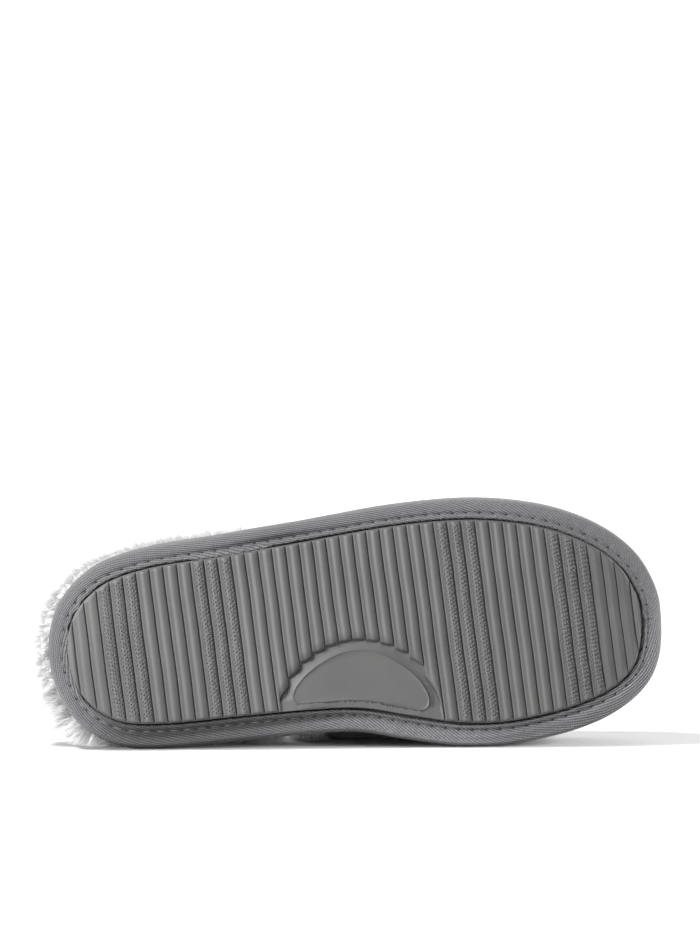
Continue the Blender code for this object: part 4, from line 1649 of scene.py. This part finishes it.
def near_mouth(places):
    """1 at the vamp's mouth, falling to nothing towards the toes."""
    return 1 - ease(places[:, 0], *LINING_FADE)


def make_lining_fur(material):
    """Pile of the vamp's lining, near its mouth."""
    rng = np.random.default_rng(SEEDS["lining"])
    grid, _ = vamp_skin(VAMP_WALL)
    grid = grid[:, LINING_EDGE:-LINING_EDGE]
    roots, normals = scatter(grid, False, STRANDS["lining"], rng, near_mouth)
    heading = unit(normals + (PILE_LEAN["lining"], 0.0, 0.0))
    length = np.full(len(roots), PILE_LENGTH["lining"])
    make_fur("lining_fur", material, "vamp_suede", roots, heading, length, rng, **PILE_FUR["lining"])


# Stage


def make_floor(material):
    """Pale floor that sweeps up into a wall far around the slipper."""
    curve = [(radius, 0.0) for radius in FLOOR_RINGS]
    for angle in np.linspace(0.0, math.pi / 2, BEND_STEPS + 1):
        level = FLOOR_RADIUS - FLOOR_BEND + FLOOR_BEND * math.sin(angle)
        curve.append((level, FLOOR_BEND - FLOOR_BEND * math.cos(angle)))
    curve.append((FLOOR_RADIUS, FLOOR_WALL))
    rings = [circle(radius, height, FLOOR_SIDES) for radius, height in curve]
    points = np.concatenate([[(0.0, 0.0, 0.0)], *rings])
    quads = grid_faces(len(rings), FLOOR_SIDES, wrap_columns=True, first=1)[:, ::-1]
    middle = fan(np.arange(1, FLOOR_SIDES + 1), 0, False)
    mesh = bpy.data.meshes.new("studio_floor")
    mesh.from_pydata(points.tolist(), [], quads.tolist() + middle.tolist())
    mesh.polygons.foreach_set("use_smooth", [True] * len(mesh.polygons))
    mesh.materials.append(material)
    floor = bpy.data.objects.new("studio_floor", mesh)
    bpy.context.scene.collection.objects.link(floor)
    return floor


def add_area(name, place, aim, size, power):
    """A square soft light at a place, aimed at a point."""
    data = bpy.data.lights.new(name, "AREA")
    data.shape = "SQUARE"
    data.size = size
    data.energy = power
    lamp = bpy.data.objects.new(name, data)
    lamp.location = place
    lamp.rotation_euler = (Vector(aim) - Vector(place)).to_track_quat("-Z", "Y").to_euler()
    bpy.context.scene.collection.objects.link(lamp)
    return lamp


def link_light(lamp, obj, state):
    """Makes a light shine on one object only, or on all but that one."""
    group = bpy.data.collections.new(lamp.name + " receivers")
    group.objects.link(obj)
    group.collection_objects[0].light_linking.link_state = state
    lamp.light_linking.receiver_collection = group


def light_stage(floor):
    """Soft lights for the slipper and others for the floor, and a pale surround."""
    for name, place, aim, size, power, state in LIGHTS:
        lamp = add_area(name, place, aim, size, power)
        if state:
            link_light(lamp, floor, state)
    world = bpy.data.worlds.new("surround")
    world.use_nodes = True
    background = world.node_tree.nodes["Background"]
    background.inputs["Color"].default_value = (1.0, 1.0, 1.0, 1.0)
    background.inputs["Strength"].default_value = SURROUND
    bpy.context.scene.world = world
    bpy.context.scene.view_settings.view_transform = "Standard"


def make_camera():
    """Camera with the photograph's place and angle."""
    data = bpy.data.cameras.new("camera")
    data.sensor_width = SENSOR
    data.lens = FOCAL_PIXELS / max(IMAGE) * SENSOR
    data.clip_start, data.clip_end = CLIP
    camera = bpy.data.objects.new("camera", data)
    ahead = AHEAD.normalized()
    right = ahead.cross(UPWARD).normalized()
    turn = Matrix((right, right.cross(ahead), -ahead)).transposed().to_4x4()
    turn.translation = EYE
    camera.matrix_world = turn
    bpy.context.scene.collection.objects.link(camera)
    bpy.context.scene.camera = camera


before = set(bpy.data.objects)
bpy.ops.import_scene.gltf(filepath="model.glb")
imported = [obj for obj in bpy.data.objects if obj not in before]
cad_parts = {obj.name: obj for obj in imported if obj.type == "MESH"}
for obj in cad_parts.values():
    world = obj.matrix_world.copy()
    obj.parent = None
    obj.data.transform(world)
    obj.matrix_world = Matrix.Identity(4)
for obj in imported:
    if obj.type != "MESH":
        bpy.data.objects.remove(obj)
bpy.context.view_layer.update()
make_camera()
light_stage(make_floor(paper()))

make_outsole(rubber("outsole rubber", RUBBER_SHADE))
# Pebbles in lighter rubber, a painted highlight
make_pebbles(rubber("pebble rubber painted highlight", PEBBLE_HIGHLIGHT))
make_band(twill())
make_stitches(thread())
# Needle holes drawn as near-black dishes, painted shade
make_needle_holes(dark_hole())
make_fray(fur("band lint", root=(0.07, 0.07, 0.075), tip=(0.14, 0.14, 0.147), low=0.5, through=0.0))
# The backing's darker grey is painted shade among the strands, also on the vamp's lining and the roll's core
shaded_pile_backing = fleece("pile backing painted shade", low=(0.30, 0.30, 0.31), high=(0.44, 0.44, 0.44))
# The strands' darker roots are painted shade low in the pile
pile_strands = fur("pile strands", root=(0.44, 0.44, 0.45), tip=(0.84, 0.84, 0.835), low=0.8, through=0.45)
make_vamp(suede(), shaded_pile_backing)
make_cuff(shaded_pile_backing)
make_footbed(shaded_pile_backing)
make_footbed_fur(pile_strands)
make_cuff_fur(pile_strands)
make_lining_fur(pile_strands)
